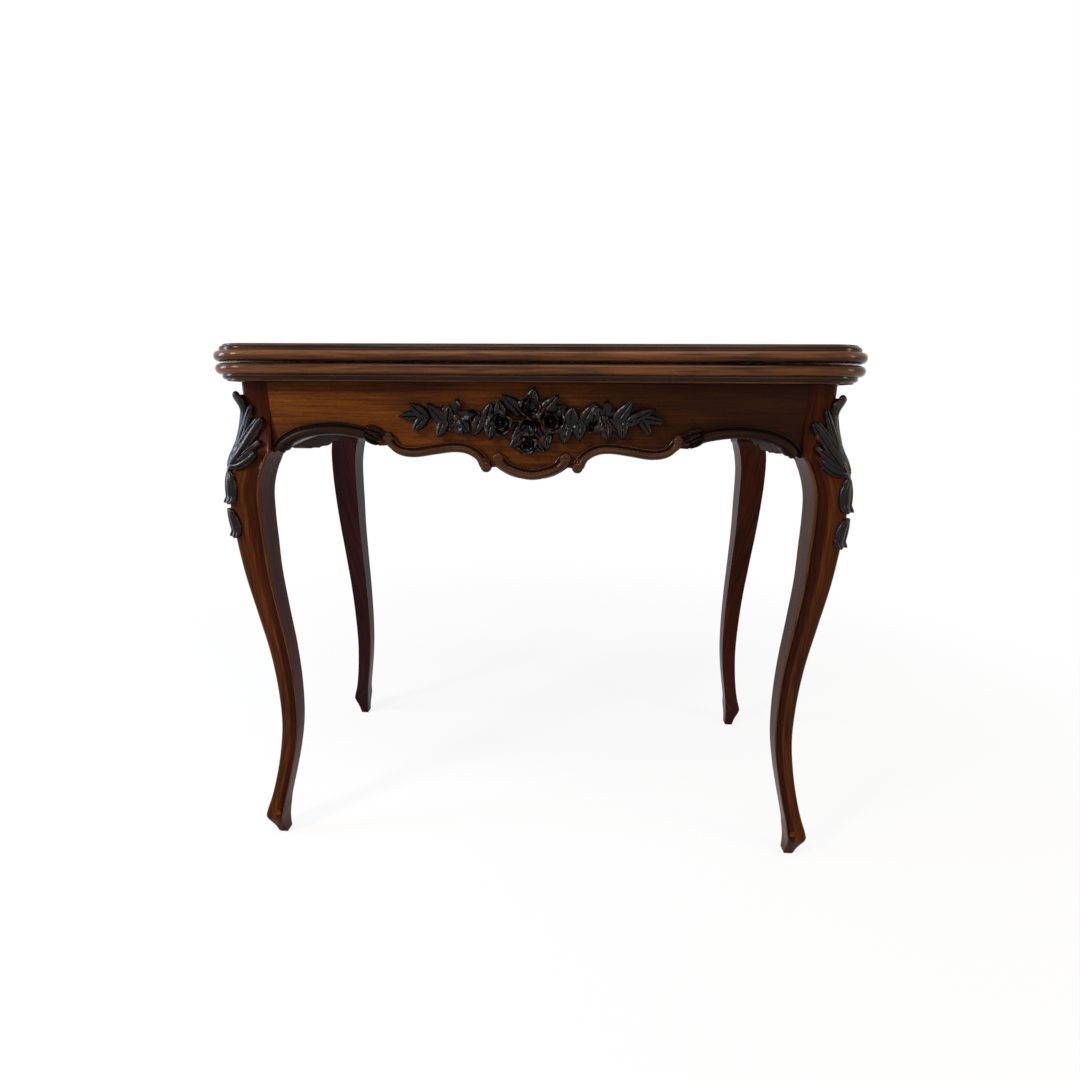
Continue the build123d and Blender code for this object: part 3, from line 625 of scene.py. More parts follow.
def moulding_path():
    """Line along the bead from the hinged edge round the front to the other side."""
    end_steps, corner_steps, front_steps = 26, 18, 44
    run = half_depth - (corner_radius - half_depth)
    near = [0.0, 0.25, 0.6, 1.1, 1.7, back_edge_radius, 4.0]
    near += [near[-1] + (run - near[-1]) * k / end_steps for k in range(1, end_steps + 1)]
    line = [(half_width, half_depth - s) for s in near]
    centre_x, centre_y = half_width - corner_radius, corner_radius - half_depth
    for k in range(1, corner_steps + 1):
        turn = math.radians(-90 * k / corner_steps)
        line.append((centre_x + corner_radius * math.cos(turn), centre_y + corner_radius * math.sin(turn)))
    line += [(centre_x * (1 - k / front_steps), -half_depth) for k in range(1, front_steps + 1)]
    return line + [(-x, y) for x, y in line[:-1][::-1]]


def section_object(name, section):
    """Ring of (offset to the right of travel, height, wear), with its distance around."""
    around = ruler([point[:2] for point in section])
    return helper(points_mesh(name, [(x, -height, 0.0) for x, height, wear in section], {
        "worn": [wear for x, height, wear in section], "around": [d * MM for d in around]}, closed=True))


def sweep_tree():
    """Sweeps a section along a line, with its ends lifted on a quarter round where a radius is given."""
    grow = Grower("swept_moulding", {
        "Section": nothing, "End Radius": 0.0, "Length": 1.0, "Material": panel_wood, "Flip": False})
    swell, along, around = [grow.node("GeometryNodeInputNamedAttribute", {"Name": key})
                            for key in ("swell", "along", "around")]
    rail = grow.node("GeometryNodeMeshToCurve", {"Mesh": grow.inputs["Geometry"]})
    rail = grow.node("GeometryNodeSetCurveNormal", {"Curve": rail}, mode="Z_UP")
    ring = grow.node("GeometryNodeMeshToCurve", {"Mesh": grow.shapes["Section"]})
    swept = grow.node("GeometryNodeCurveToMesh", {
        "Curve": rail, "Profile Curve": ring, "Scale": swell, "Fill Caps": True})
    # height of the quarter round over the distance to the nearer end of the line
    radius = grow.inputs["End Radius"]
    far = grow.node("ShaderNodeMath", {0: grow.inputs["Length"], 1: along}, operation="SUBTRACT")
    near = grow.node("ShaderNodeMath", {0: along, 1: far}, operation="MINIMUM")
    short = grow.node("ShaderNodeMath", {0: radius, 1: near}, operation="SUBTRACT")
    short = grow.node("ShaderNodeMath", {0: short, 1: 0.0}, operation="MAXIMUM")
    squares = [grow.node("ShaderNodeMath", {0: side, 1: side}, operation="MULTIPLY")
               for side in (radius, short)]
    under = grow.node("ShaderNodeMath", {0: squares[0], 1: squares[1]}, operation="SUBTRACT")
    under = grow.node("ShaderNodeMath", {0: under, 1: 0.0}, operation="MAXIMUM")
    drop = grow.node("ShaderNodeMath", {0: under}, operation="SQRT")
    lift = grow.node("ShaderNodeMath", {0: radius, 1: drop}, operation="SUBTRACT")
    place = grow.node("ShaderNodeSeparateXYZ", {0: grow.node("GeometryNodeInputPosition")}).outputs
    height = grow.node("ShaderNodeMath", {0: place[2], 1: lift}, operation="MAXIMUM")
    raised = grow.node("ShaderNodeCombineXYZ", {0: place[0], 1: place[1], 2: height})
    swept = grow.node("GeometryNodeSetPosition", {"Geometry": swept, "Position": raised})
    grain = grow.node("ShaderNodeCombineXYZ", {0: along, 1: around})
    swept = grow.node("GeometryNodeStoreNamedAttribute", {
        "Geometry": swept, "Name": "grain", "Value": grain}, data_type="FLOAT2", domain="CORNER")
    outward = grow.node("GeometryNodeFlipFaces", {"Mesh": swept, "Selection": grow.inputs["Flip"]})
    return grow.finish(outward)


sweep = sweep_tree()
edge_line = moulding_path()
edge_marks = [d * MM for d in ruler(edge_line)]
edge_section = section_object("leaf_edge_section", moulding_profile())
for leaf, inner_face, side in (("lower_leaf", lower_inner_face, -1.0),
                               ("upper_leaf", upper_inner_face, 1.0)):
    line = points_mesh(leaf + "_line", [(x, y, 0.0) for x, y in edge_line], {
        "along": edge_marks, "swell": [1.0] * len(edge_line)}, closed=False)
    edge = sweep.mesh(leaf + "_edge", line, {
        "Section": edge_section, "End Radius": back_edge_radius * MM, "Length": edge_marks[-1],
        "Material": edge_wood, "Flip": side < 0, "Place": (0.0, 0.0, inner_face * MM),
        "Mirror": (1.0, 1.0, side)})
    # the lower leaf's underside takes the dull finish, darkened as painted shade
    if side < 0:
        edge.materials.append(dull_underside_painted_shade)
        for polygon in edge.polygons:
            if polygon.normal.z < -0.95 and polygon.center.z < (inner_face - leaf_thickness + 0.1) * MM:
                polygon.material_index = 1
    dress(edge, leaf + "_edge", leaf, leaf + "_moulding", sharp=32)


# share of the radius, share of the rise, and wear, from the foot of a knob to its top
knob_rings = ((1.0, 0.0, 0.0), (1.0, 0.50, 0.1), (0.96, 0.72, 0.3), (0.86, 0.88, 0.6), (0.68, 1.01, 1.0),
              (0.46, 1.09, 1.0), (0.22, 1.13, 0.8), (0.02, 1.14, 0.7))


def knob(x, z, radius, rise, wear=0.7, face_y=-frame_y):
    """Rounded end of a roll, or a boss."""
    turns = [2 * math.pi * k / 28 for k in range(28)]
    rings, grains = [], []
    for r, h, w in knob_rings:
        rings.append([(x + radius * r * math.cos(t), face_y + seat - rise * h, z + radius * r * math.sin(t),
                       w * wear) for t in turns])
        grains.append([(radius * r * math.cos(t) * MM, radius * r * math.sin(t) * MM) for t in turns])
    return Form().skin(rings, grains)


# legs: share of the shoulder's height, share of the knee's bow, share of the girth
leg_shares = (
    (1.100, 0.00, 0.925), (1.058, 0.12, 0.98), (1.021, 0.25, 1.10), (0.992, 0.45, 1.20),
    (0.959, 0.74, 1.18), (0.917, 0.94, 1.13), (0.860, 1.00, 1.10), (0.793, 0.97, 1.05),
    (0.722, 0.91, 0.97), (0.615, 0.69, 0.86), (0.507, 0.46, 0.77), (0.402, 0.38, 0.71),
    (0.306, 0.47, 0.66), (0.231, 0.74, 0.63), (0.165, 1.09, 0.61), (0.102, 1.50, 0.64),
    (0.087, 1.61, 0.68), (0.073, 1.69, 0.72), (0.062, 1.75, 0.73), (0.052, 1.74, 0.68),
    (0.038, 1.68, 0.57), (0.019, 1.59, 0.45), (0.000, 1.52, 0.38),
)
# half of a fluted face from the bead on the inner edge to the middle: place, depth, wear; below zero the
# wear is grime and painted shade in the hollow
leg_flute = (
    (-1.0, -0.055, 0.3), (-0.985, -0.02, 0.9), (-0.95, 0.0, 1.0), (-0.90, 0.0, 0.9), (-0.855, -0.02, 0.5),
    (-0.83, -0.09, -1.0), (-0.79, -0.135, -0.8), (-0.70, -0.15, -0.45), (-0.56, -0.135, -0.25),
    (-0.40, -0.085, -0.1), (-0.25, -0.03, 0.0), (-0.1, -0.004, 0.6), (0.1, 0.0, 0.4),
)
# rounding of the outer corner: in millimetres on the post, as a share of the half girth on the leg
post_rounding = 7.0
knee_rounding = 0.42
# the post's corner runs into the leg's over this height, from above the shoulder down
round_above, round_over = 40, 70
# the wide inner side of the post runs into the leg over this height
shoulder_ease = 6
toe_height = 46.0
# boss on the toe of a front leg
toe_boss_radius = 4.9
toe_boss_rise = 3.4
toe_boss_seat = 1.7
foot_ease = 3.0
foot_shrink = 0.86


def leg_at(height):
    """Bow of the middle line and half girth at a height."""
    share = height / shoulder_height
    if share >= leg_shares[0][0]:
        return 0.0, post_width / 2
    return knee_bow * table_value(leg_shares, share, 1), leg_girth / 2 * table_value(leg_shares, share, 2)


def below_post(height):
    """0 on the post, 1 where the leg's own round corner is reached."""
    return smooth((shoulder_height + round_above - height) / round_over)


def leg_section(height, beaded):
    """Outline of the leg at a height, as (outwards, forwards) from the post's middle, with wear."""
    bow, half = leg_at(height)
    inner = -post_width / 2 if height > shoulder_height else bow - half
    if shoulder_height - shoulder_ease < height <= shoulder_height:
        inner = lerp(bow - half, -post_width / 2,
                     (height - shoulder_height + shoulder_ease) / shoulder_ease)
    outer = bow + half
    size = (outer - inner) / 2
    middle = (outer + inner) / 2
    # the flute fades out under the shoulder and above the foot
    fluted = beaded * smooth((shoulder_height + 4 - height) / 14) * smooth((height - 14) / 24)
    rounding = lerp(post_rounding / size, knee_rounding, below_post(height))
    face = []
    for place, depth, worn in leg_flute:
        depth = depth * fluted + (-0.012 * (1 - fluted) if place < -0.97 else 0.0)
        face.append((place, 1.0 + depth, worn * fluted))
    flat_end = 1.0 - rounding
    face.append((max(0.2, flat_end - 0.12), 1.0, 0.25))
    for k in range(0, 6):
        turn = math.radians(9 * k)
        face.append((flat_end + rounding * math.sin(turn), flat_end + rounding * math.cos(turn), 0.3))
    outline = [(-1.0, -0.97, 0.2), (-1.0, -0.5, 0.0), (-1.0, 0.0, 0.0), (-1.0, 0.5, 0.0), (-1.0, 0.9, 0.0)]
    outline += face
    outline += [(b, a, w) for a, b, w in face[:-1][::-1]]
    outline += [(0.9, -1.0, 0.0), (0.5, -1.0, 0.0), (0.0, -1.0, 0.0), (-0.5, -1.0, 0.0), (-0.97, -1.0, 0.2)]
    return [(middle + size * a, middle + size * b, w) for a, b, w in outline]


def leg_heights():
    """Heights of the leg's sections, closest at the shoulder and down the toe."""
    heights = [rail_top, rail_top - 0.5] + [rail_top - 8 * k for k in range(1, 12)]
    heights = [height for height in heights if height > shoulder_height + 0.5]
    heights += [shoulder_height + 0.2] + [shoulder_height - 1.5 * k for k in range(0, 5)]
    heights += [shoulder_height - 6 - 7 * k for k in range(1, 78)]
    heights = [height for height in heights if height > 54]
    return heights + [50 - 2.5 * k for k in range(0, 19)] + [3.0, 1.0, 0.0]


def leg_form(beaded, seed):
    """Front right leg: post, knee, shank and toe in one piece, with the foot's edge eased."""
    rings, grains = [], []
    for height in leg_heights():
        section = leg_section(height, beaded)
        shrink = lerp(foot_shrink, 1.0, math.sqrt(height / foot_ease)) if height <= foot_ease else 1.0
        bow, half = leg_at(height)
        rings.append([(post_x + bow + (a - bow) * shrink, -post_y - bow - (b - bow) * shrink, height, wear)
                      for a, b, wear in section])
        grains.append([(height * MM + seed, around * MM + seed * 3)
                       for around in ruler([point[:2] for point in section])])
    return Form().skin(rings, grains)


front_leg = leg_form(1.0, 0.0)
toe_bow, toe_half = leg_at(toe_height)
front_leg.join(knob(post_x + toe_bow - 0.42 * toe_half, toe_height - 1.0, toe_boss_radius, toe_boss_rise,
                    1.0, -post_y - toe_bow - toe_half + toe_boss_seat))
back_leg = leg_form(0.0, 1.3).mirrored(1)
front_leg.pair("leg_front_{}_carved", leg_wood, "polished_rosewood", "leg_front_{}")
# the left back leg's purple tint is mostly a painted reflection
for form, side, wood in ((back_leg, "right", back_leg_wood), (back_leg.mirrored(), "left", leg_wood_painted_reflection)):
    form.piece("leg_back_{}_shaped".format(side), wood, "frame", "polished_rosewood", "leg_back_" + side)


# carved rolls under the front rail
def on_rail(share_x, share_z):
    """Place on the rail's face, in shares of half its length and of the apron's depth."""
    return (share_x * rail_half_length, rail_top - share_z * apron_depth)


# share of the height, share of the projection, and wear: a bead, a cove and a heavier roll; wear below zero
# is grime and painted shade in the cove and painted shade along the underside
roll_section = (
    (-0.50, 0.00, 0.0), (-0.50, 0.45, 0.1), (-0.47, 0.62, 0.6), (-0.42, 0.67, 1.0), (-0.37, 0.61, 0.3),
    (-0.33, 0.48, -0.8), (-0.28, 0.50, -0.8), (-0.21, 0.70, -0.1), (-0.11, 0.88, 0.3), (0.01, 0.98, 0.8),
    (0.11, 1.00, 1.0), (0.21, 0.97, 0.8), (0.31, 0.87, 0.3), (0.40, 0.69, 0.0), (0.46, 0.45, 0.0),
    (0.50, 0.20, -0.3), (0.50, 0.0, -0.5))
roll_projection = 9.0
# how far from the end a swell and the thinned tip reach
swell_reach = 9.0
tip_reach = 4.0
pendant_line = [on_rail(*p) for p in (
    (-0.128, 0.775), (-0.085, 0.885), (0.0, 0.945), (0.085, 0.885), (0.128, 0.775))]
scroll_line = [on_rail(*p) for p in (
    (0.174, 0.868), (0.200, 0.752), (0.245, 0.680), (0.300, 0.664), (0.372, 0.690),
    (0.452, 0.722), (0.510, 0.690), (0.547, 0.575))]
arch_line = [on_rail(*p) for p in (
    (0.595, 0.575), (0.655, 0.515), (0.762, 0.478), (0.870, 0.515), (0.945, 0.605), (0.985, 0.715))]


def carved_roll(name, points, height, swells, steps=72, material=scroll_wood):
    """Roll along a line on the rail's face, thinned at its tips.

    Each swell is an end of the line, 0 or 1, and how much thicker the roll is there.
    """
    line, length = curve_through([(x, z, 0.0) for x, z in points], steps)
    swell = []
    for i in range(steps + 1):
        t = i / steps
        value = 1.0
        for end, amount in swells:
            value *= 1 + amount * bell((t if end == 0 else 1 - t) * length, 0.0, swell_reach)
        tip = min(1.0, min(t, 1 - t) * length / tip_reach)
        value *= math.sqrt(max(0.0, 1 - (1 - tip) ** 2)) * 0.7 + 0.3
        swell.append(value)
    section = section_object(name + "_section", [
        (offset * height, depth * roll_projection, wear) for offset, depth, wear in roll_section])
    marks = [d * MM for d in ruler(line)]
    path = points_mesh(name + "_line", line, {"along": marks, "swell": swell}, closed=False)
    return sweep.mesh(name, path, {
        "Section": section, "Length": marks[-1], "Material": material, "Turn": upright,
        "Place": (0.0, (seat - frame_y) * MM, 0.0)})


# leaves and flowers
def unit_leaf():
    """Pointed carved leaf along X from its root, 100 long, wide and high, flat below."""
    along, across, unit, under = 20, 15, 100.0, -4.0
    rings = []
    for i in range(along + 1):
        t = i / along
        half = unit / 2 * math.sin(math.pi * min(1.0, t ** 0.75)) ** 0.8 if 0 < t < 1 else 0.0
        half = max(half, 0.04 * unit)
        row = []
        for v in spread(across):
            dome = (1 - v * v) ** 0.5 if abs(v) < 1 else 0.0
            ripple = 0.045 * math.sin(24 * t - 5 * abs(v)) * (1 - abs(v))
            up = unit * (0.35 + 0.65 * math.sin(math.pi * min(1, t ** 0.8)) ** 0.6) * (
                0.30 + 0.70 * dome - 0.26 * bell(v, 0.0, 0.12) + ripple)
            up += 0.5 * t ** 3 * unit
            row.append((t * unit, v * half, max(up, 0.0), 0.9 * abs(v) ** 3 + 0.5 * (t > 0.85)))
        rings.append([(*row[0][:2], under, 0.0)] + row + [(*row[-1][:2], under, 0.0)])
    return Form().skin(rings)


def unit_petal(wide, low, high, fall):
    """Petal of a flower of radius 100, opening along X from the heart, cupped the more the wider it is."""
    along, across, thickness = 12, 11, 15
    rings = []
    for i in range(along + 1):
        t = i / along
        half = wide * (0.30 + 0.70 * math.sin(math.pi * min(1.0, 0.16 + 0.80 * t)) ** 0.6)
        if t > 0.9:
            half *= 0.84
        upper, lower = [], []
        for v in spread(across):
            up = lerp(low, high, smooth(t * 1.25)) - fall * smooth((t - 0.7) / 0.3)
            up += 0.45 * wide * v * v * math.sin(math.pi * t) - 9 * bell(v, 0.0, 0.18) * (1 - t)
            rim = 14 + 86 * t - 12 * v * v * t
            upper.append((rim, v * half, up, 0.1 + 0.9 * t ** 6 + 0.6 * abs(v) ** 6))
            lower.append((rim, v * half, max(up - thickness, -4.0), 0.1))
        rings.append(upper + lower[::-1])
    return Form().skin(rings)


def unit_heart():
    """Domed heart of a flower, beaded with stamens."""
    radius, around = 24, 18
    turns = [2 * math.pi * k / around for k in range(around)]
    rings = [[(radius * math.cos(t), radius * math.sin(t), -4.0, 0.0) for t in turns]]
    for i in range(7):
        e = math.radians(90 * i / 6)
        out = [radius * math.cos(e) * (1 + 0.10 * (k % 3 == 0)) for k in range(around)]
        rings.append([(r * math.cos(t), r * math.sin(t), 20 + 34 * math.sin(e), 0.3 + 0.6 * math.sin(e))
                      for r, t in zip(out, turns)])
    return Form().skin(rings)


def leaf_on_face(x, z, turn, long, wide, high):
    """Carved leaf laid on the front rail's face, turned about its root."""
    leaf = unit_leaf()
    c, s = math.cos(math.radians(turn)), math.sin(math.radians(turn))
    scaled = [(a * long / 100, b * wide / 100, up * high / 100) for a, b, up in leaf.verts]
    leaf.verts = [(x + a * c - b * s, seat - frame_y - up, z + a * s + b * c) for a, b, up in scaled]
    return leaf


def with_ends(roll, ends):
    """A roll and what is carved at its ends, in one form."""
    whole = Form()
    for end in ends:
        whole.join(end)
    return whole.take(roll)


# heights of the rolls, and radius and rise of the knobs that end them
pendant_height, s_height, arch_height = 15.5, 14.0, 17.0
pendant_knob, s_knob, fold_knob, fold_lobe = (8.2, 9.0), (8.0, 9.0), (7.4, 9.5), (7.0, 8.0)
end_x, end_z = pendant_line[-1]
pendant = with_ends(carved_roll("pendant_roll", pendant_line, pendant_height, ((0, 0.15), (1, 0.15))), [
    knob(-end_x, end_z, *pendant_knob), knob(end_x, end_z, *pendant_knob)])
pendant.piece("pendant_scroll_carved", scroll_wood, "frame", "carved_moulding", "pendant_scroll")
# beside the pendant the S ends in a rounded fold
end_x, end_z = scroll_line[-1]
fold_x, fold_z = scroll_line[0]
s_scroll = with_ends(carved_roll("s_roll", scroll_line, s_height, ((0, 0.2), (1, 0.1))), [
    knob(end_x, end_z, *s_knob), knob(fold_x, fold_z, *fold_knob),
    knob(fold_x + 3.5, fold_z + 5.5, *fold_lobe, 0.3)])
s_scroll.pair("s_scroll_{}_carved", scroll_wood, "carved_moulding", "s_scroll_{}")
# the arch ends in three lobes towards the middle and in a small leaf by the leg
end_x, end_z = arch_line[0]
low_x, low_z = on_rail(0.968, 0.715)
end_turn = math.degrees(math.atan2(end_z - arch_line[1][1], end_x - arch_line[1][0]))
arch = with_ends(carved_roll("arch_roll", arch_line, arch_height, ((0, 0.1),), 90, arch_wood), [
    leaf_on_face(end_x + 16, end_z + 13, end_turn - 4, 33, 15, 12),
    leaf_on_face(end_x + 15, end_z + 9, end_turn + 6, 31, 14, 14),
    leaf_on_face(end_x + 17, end_z + 6, end_turn + 20, 24, 11, 12),
    leaf_on_face(low_x, low_z, 140, 24, 12, 8)])
arch.pair("arch_scroll_{}_carved", arch_wood, "carved_moulding", "arch_scroll_{}")


# carved spray on the front rail, in shares of half its length
spray_unit = 176.0
spray_level = rail_top - 0.37 * apron_depth
# leaves: place of the middle, direction in degrees, length and width
spray_leaves = (
    (-0.93, 0.02, 180, 0.13, 0.06), (-0.855, 0.067, 140, 0.15, 0.07), (-0.855, -0.047, 230, 0.13, 0.065),
    (-0.72, 0.056, 130, 0.16, 0.07), (-0.68, -0.08, 250, 0.13, 0.065), (-0.32, 0.06, 75, 0.13, 0.078),
    (-0.41, -0.057, 250, 0.14, 0.078), (-0.31, -0.08, 265, 0.15, 0.075), (-0.157, 0.122, 135, 0.17, 0.078),
    (0.006, 0.163, 75, 0.14, 0.088), (0.142, 0.12, 45, 0.17, 0.075), (0.105, -0.157, 280, 0.14, 0.08),
    (0.25, -0.11, 260, 0.15, 0.08), (0.293, 0.031, 80, 0.14, 0.09), (0.356, -0.09, 275, 0.14, 0.08),
    (0.43, 0.064, 58, 0.16, 0.072), (0.55, -0.093, 285, 0.13, 0.055), (0.67, -0.08, 275, 0.13, 0.075),
    (0.69, 0.078, 53, 0.19, 0.075), (0.82, 0.042, 28, 0.20, 0.065), (0.905, 0.0, 352, 0.19, 0.055),
    (0.85, -0.054, 305, 0.14, 0.055),
    (-0.62, 0.055, 80, 0.10, 0.06), (-0.50, -0.06, 300, 0.11, 0.065), (-0.24, 0.085, 100, 0.13, 0.07),
    (-0.10, -0.10, 220, 0.13, 0.08), (0.05, -0.10, 310, 0.13, 0.08), (0.21, 0.07, 30, 0.13, 0.07),
    (0.33, -0.02, 330, 0.12, 0.06), (-0.12, -0.16, 215, 0.13, 0.07), (0.06, -0.20, 320, 0.11, 0.07),
    (0.47, 0.06, 80, 0.11, 0.06), (0.62, -0.05, 310, 0.11, 0.06), (0.76, -0.01, 5, 0.12, 0.05),
)
# flowers: place, radius and rings of petals
spray_flowers = (
    (-0.425, 0.03, 0.052, 1), (-0.227, -0.018, 0.105, 2), (-0.013, 0.088, 0.092, 2),
    (0.145, -0.008, 0.118, 2), (-0.028, -0.043, 0.080, 1), (-0.028, -0.168, 0.088, 2),
)
spray_stars = (
    (-0.56, 0.012, 0.145, 1), (0.538, 0.012, 0.135, 1), (0.455, -0.047, 0.060, 1), (-0.36, 0.03, 0.045, 1),
)
spray_stem = (
    (-0.96, 0.03), (-0.8, 0.0), (-0.62, -0.01), (-0.42, 0.0), (-0.2, -0.01), (0.1, -0.01), (0.3, -0.03),
    (0.5, -0.01), (0.7, 0.0), (0.95, -0.01))
# a carved leaf is longer and wider than the share of it that stands free
leaf_stretch = 1.28
leaf_broaden = 1.5
leaf_rise = 0.08
inner_ring = 0.62
draw = random.Random(7)


def tilt(limit):
    """A turn by chance, up to this many degrees either way."""
    return math.radians(draw.uniform(-limit, limit))


def spray_tree():
    """Leaves, flowers of turned petals and their hearts on the points given for them, joined on a stem."""
    grow = Grower("flower_spray", {
        "Leaf": nothing, "Petal": nothing, "Star Petal": nothing, "Heart": nothing, "Leaf Points": nothing,
        "Flower Points": nothing, "Star Points": nothing, "Petals": 5, "Wobble": 0.16, "Seed": 4,
        "Material": carving_wood})
    petals, wobble = grow.inputs["Petals"], grow.inputs["Wobble"]
    place = grow.node("GeometryNodePoints", {"Count": petals})
    step = grow.node("ShaderNodeMath", {0: math.tau, 1: petals}, operation="DIVIDE")
    least = grow.node("ShaderNodeMath", {0: wobble, 1: -1.0}, operation="MULTIPLY")
    chance = grow.node("FunctionNodeRandomValue", {
        2: least, 3: wobble, "Seed": grow.inputs["Seed"]}, data_type="FLOAT").outputs[1]
    angle = grow.node("ShaderNodeMath", {
        0: grow.node("GeometryNodeInputIndex"), 1: step, 2: chance}, operation="MULTIPLY_ADD")
    around = grow.node("FunctionNodeEulerToRotation", {0: grow.node("ShaderNodeCombineXYZ", {2: angle})})
    leaves = grow.instances(grow.shapes["Leaf Points"], grow.shapes["Leaf"])
    parts = [leaves.outputs[0], grow.inputs["Geometry"]]
    for petal, points in (("Petal", "Flower Points"), ("Star Petal", "Star Points")):
        ring = grow.node("GeometryNodeInstanceOnPoints", {
            "Points": place, "Instance": grow.shapes[petal], "Rotation": around})
        parts += [grow.instances(grow.shapes[points], shape).outputs[0]
                  for shape in (ring, grow.shapes["Heart"])]
    joined = grow.node("GeometryNodeJoinGeometry")
    for part in parts:
        grow.tree.links.new(part, joined.inputs[0])
    return grow.finish(joined)


def stem_form():
    """Wandering stem that carries the spray, built flat."""
    steps, around, thickness = 90, 9, 2.4
    line, length = curve_through([
        (x * spray_unit, spray_level + z * spray_unit, 0) for x, z in spray_stem], steps)
    rings = []
    for i, p in enumerate(line):
        across = across_line(line, i)
        r = thickness * (0.4 + 0.6 * math.sin(math.pi * i / steps) ** 0.5)
        turns = [math.radians(22.5 * k) for k in range(around)]
        rings.append([(p.x + across.x * r * math.cos(t), p.y + across.y * r * math.cos(t),
                       1.5 * r * math.sin(t) - 0.3, 0.4) for t in turns])
    return Form().skin(rings).flipped()


def leaf_points():
    """Roots of the leaves, each a little lifted and tilted."""
    spots, turns, sizes = [], [], []
    for x, z, turn, length, width in spray_leaves:
        long, wide = length * spray_unit * leaf_stretch, width * spray_unit * leaf_broaden
        c, s = math.cos(math.radians(turn)), math.sin(math.radians(turn))
        reach = length * spray_unit / 2 - long
        spots.append((x * spray_unit + c * reach, spray_level + z * spray_unit + s * reach,
                      draw.uniform(0.0, 1.5)))
        turns.append((tilt(10), math.radians(draw.uniform(-9, -2)), math.radians(turn)))
        sizes.append((long / 100, wide / 100, leaf_rise))
    return helper(points_mesh("leaf_points", spots, {"turn": turns, "size": sizes}))


def flower_points(name, flowers):
    """Centres of flowers; a second, smaller ring of petals stands inside the large ones."""
    spots, turns, sizes = [], [], []
    for x, z, radius, rings in flowers:
        for ring in range(rings):
            size = radius * spray_unit * (1.0 if ring == 0 else inner_ring) / 100
            spots.append((x * spray_unit, spray_level + z * spray_unit, 0.5 + 3.5 * ring))
            turns.append((tilt(14), tilt(14), math.radians(90 + 36 * ring + draw.uniform(-12, 12))))
            sizes.append((size, size, min(size, 0.14)))
    return helper(points_mesh(name, spots, {"turn": turns, "size": sizes}))


spray_mesh = spray_tree().mesh("flower_spray_carved", stem_form().mesh("stem"), {
    "Leaf Points": leaf_points(), "Leaf": helper(unit_leaf().mesh("leaf")),
    "Petal": helper(unit_petal(50, 12, 86, 22).mesh("petal")),
    "Star Petal": helper(unit_petal(24, 30, 62, 25).mesh("star_petal")),
    "Heart": helper(unit_heart().mesh("heart")),
    "Flower Points": flower_points("flower_points", spray_flowers),
    "Star Points": flower_points("star_points", spray_stars),
    "Turn": upright, "Place": (0.0, (seat - frame_y) * MM, 0.0)})
dress(spray_mesh, "flower_spray_carved", "frame", "flower_spray", sharp=50)


# knee carving, let this far into the knee
knee_seat = -1.2


def knee_point(s, height, lift, wear=0.0):
    """Point over the front right leg's skin: s from the outer corner, positive on the front."""
    bow, half = leg_at(height)
    outer = bow + half
    size = (outer + post_width / 2) / 2 if height > shoulder_height else half
    rounding = lerp(post_rounding, knee_rounding * size, below_post(height))
    arc = rounding * math.pi / 4
    side = abs(s)
    if side < arc:
        turn = math.pi / 4 - side / rounding
        a = outer - rounding + rounding * math.sin(turn)
        b = outer - rounding + rounding * math.cos(turn)
        out_a, out_b = math.sin(turn), math.cos(turn)
    else:
        a, b, out_a, out_b = outer - rounding - (side - arc), outer, 0.0, 1.0
    a, b = a + out_a * lift, b + out_b * lift
    if s < 0:
        a, b = b, a
    return (post_x + a, -post_y - b, height, wear)


def plume(form, path, width, crown, curl, grooves=(0.0,)):
    """Grooved acanthus lobe that follows a line of (s, height) points over the knee, with a curled tip."""
    # shares of the length from which the tip rounds off, curls up and is rubbed
    steps, tip_from, curl_from, worn_from = 34, 0.88, 0.74, 0.86
    line, length = curve_through([(s, z, 0.0) for s, z in path], steps)
    rings = []
    for i, p in enumerate(line):
        across = across_line(line, i)
        t = i / steps
        half = width / 2 * (0.30 + 0.70 * math.sin(math.pi * min(1.0, 0.06 + 0.86 * t)) ** 0.7)
        if t > tip_from:
            half *= math.sqrt(max(0.0, 1 - ((t - tip_from) / (1 - tip_from)) ** 2)) * 0.9 + 0.1
        row = []
        for v in spread(15):
            dome = math.sqrt(max(0.0, 1 - v * v))
            groove = sum(bell(v, g, 0.10) for g in grooves)
            up = crown * (0.25 + 0.75 * dome - 0.22 * groove * dome)
            up *= 0.55 + 0.45 * math.sin(math.pi * min(1.0, 0.25 + 0.6 * t))
            up += curl * smooth((t - curl_from) / (1 - curl_from)) * crown
            q = p + across * (v * half)
            row.append(knee_point(q.x, q.y, max(0.15, up),
                                  0.12 + 0.7 * abs(v) ** 4 + 0.3 * smooth((t - worn_from) / 0.1)))
        start, end = [knee_point(q.x, q.y, knee_seat) for q in (p + across * -half, p + across * half)]
        rings.append([start] + row + [end])
    form.skin(rings)


def knee_root():
    """Smooth boss over the corner that the lobes spring from."""
    top, step, steps, widest, crown, wear = 612, 3.4, 10, 7.5, 4.8, 0.3
    rings = []
    for i in range(steps + 1):
        z = top - step * i
        w = widest * math.sin(math.pi * (0.12 + 0.84 * i / steps)) ** 0.7
        rings.append([knee_point(w * v, z, crown * (1 - v * v) ** 0.5 if abs(v) < 1 else 0.1, wear)
                      for v in spread(13)] + [knee_point(side, z, knee_seat, wear) for side in (w, -w)])
    return Form().skin(rings)


def curled_tip():
    """Small ball, standing off the corner, in which the tallest lobe ends."""
    radius, half_height, middle, stand = 4.6, 5.4, 678.0, 9.0
    x, y, z, wear = knee_point(0.0, middle, stand, 0.5)
    turns = [math.tau * k / 20 for k in range(20)]
    polars = [math.radians(3 + 174 * i / 12) for i in range(13)]
    return Form().skin([[(
        x + radius * math.sin(polar) * math.cos(t), y + radius * math.sin(polar) * math.sin(t),
        z - half_height * math.cos(polar), wear) for t in turns] for polar in polars])


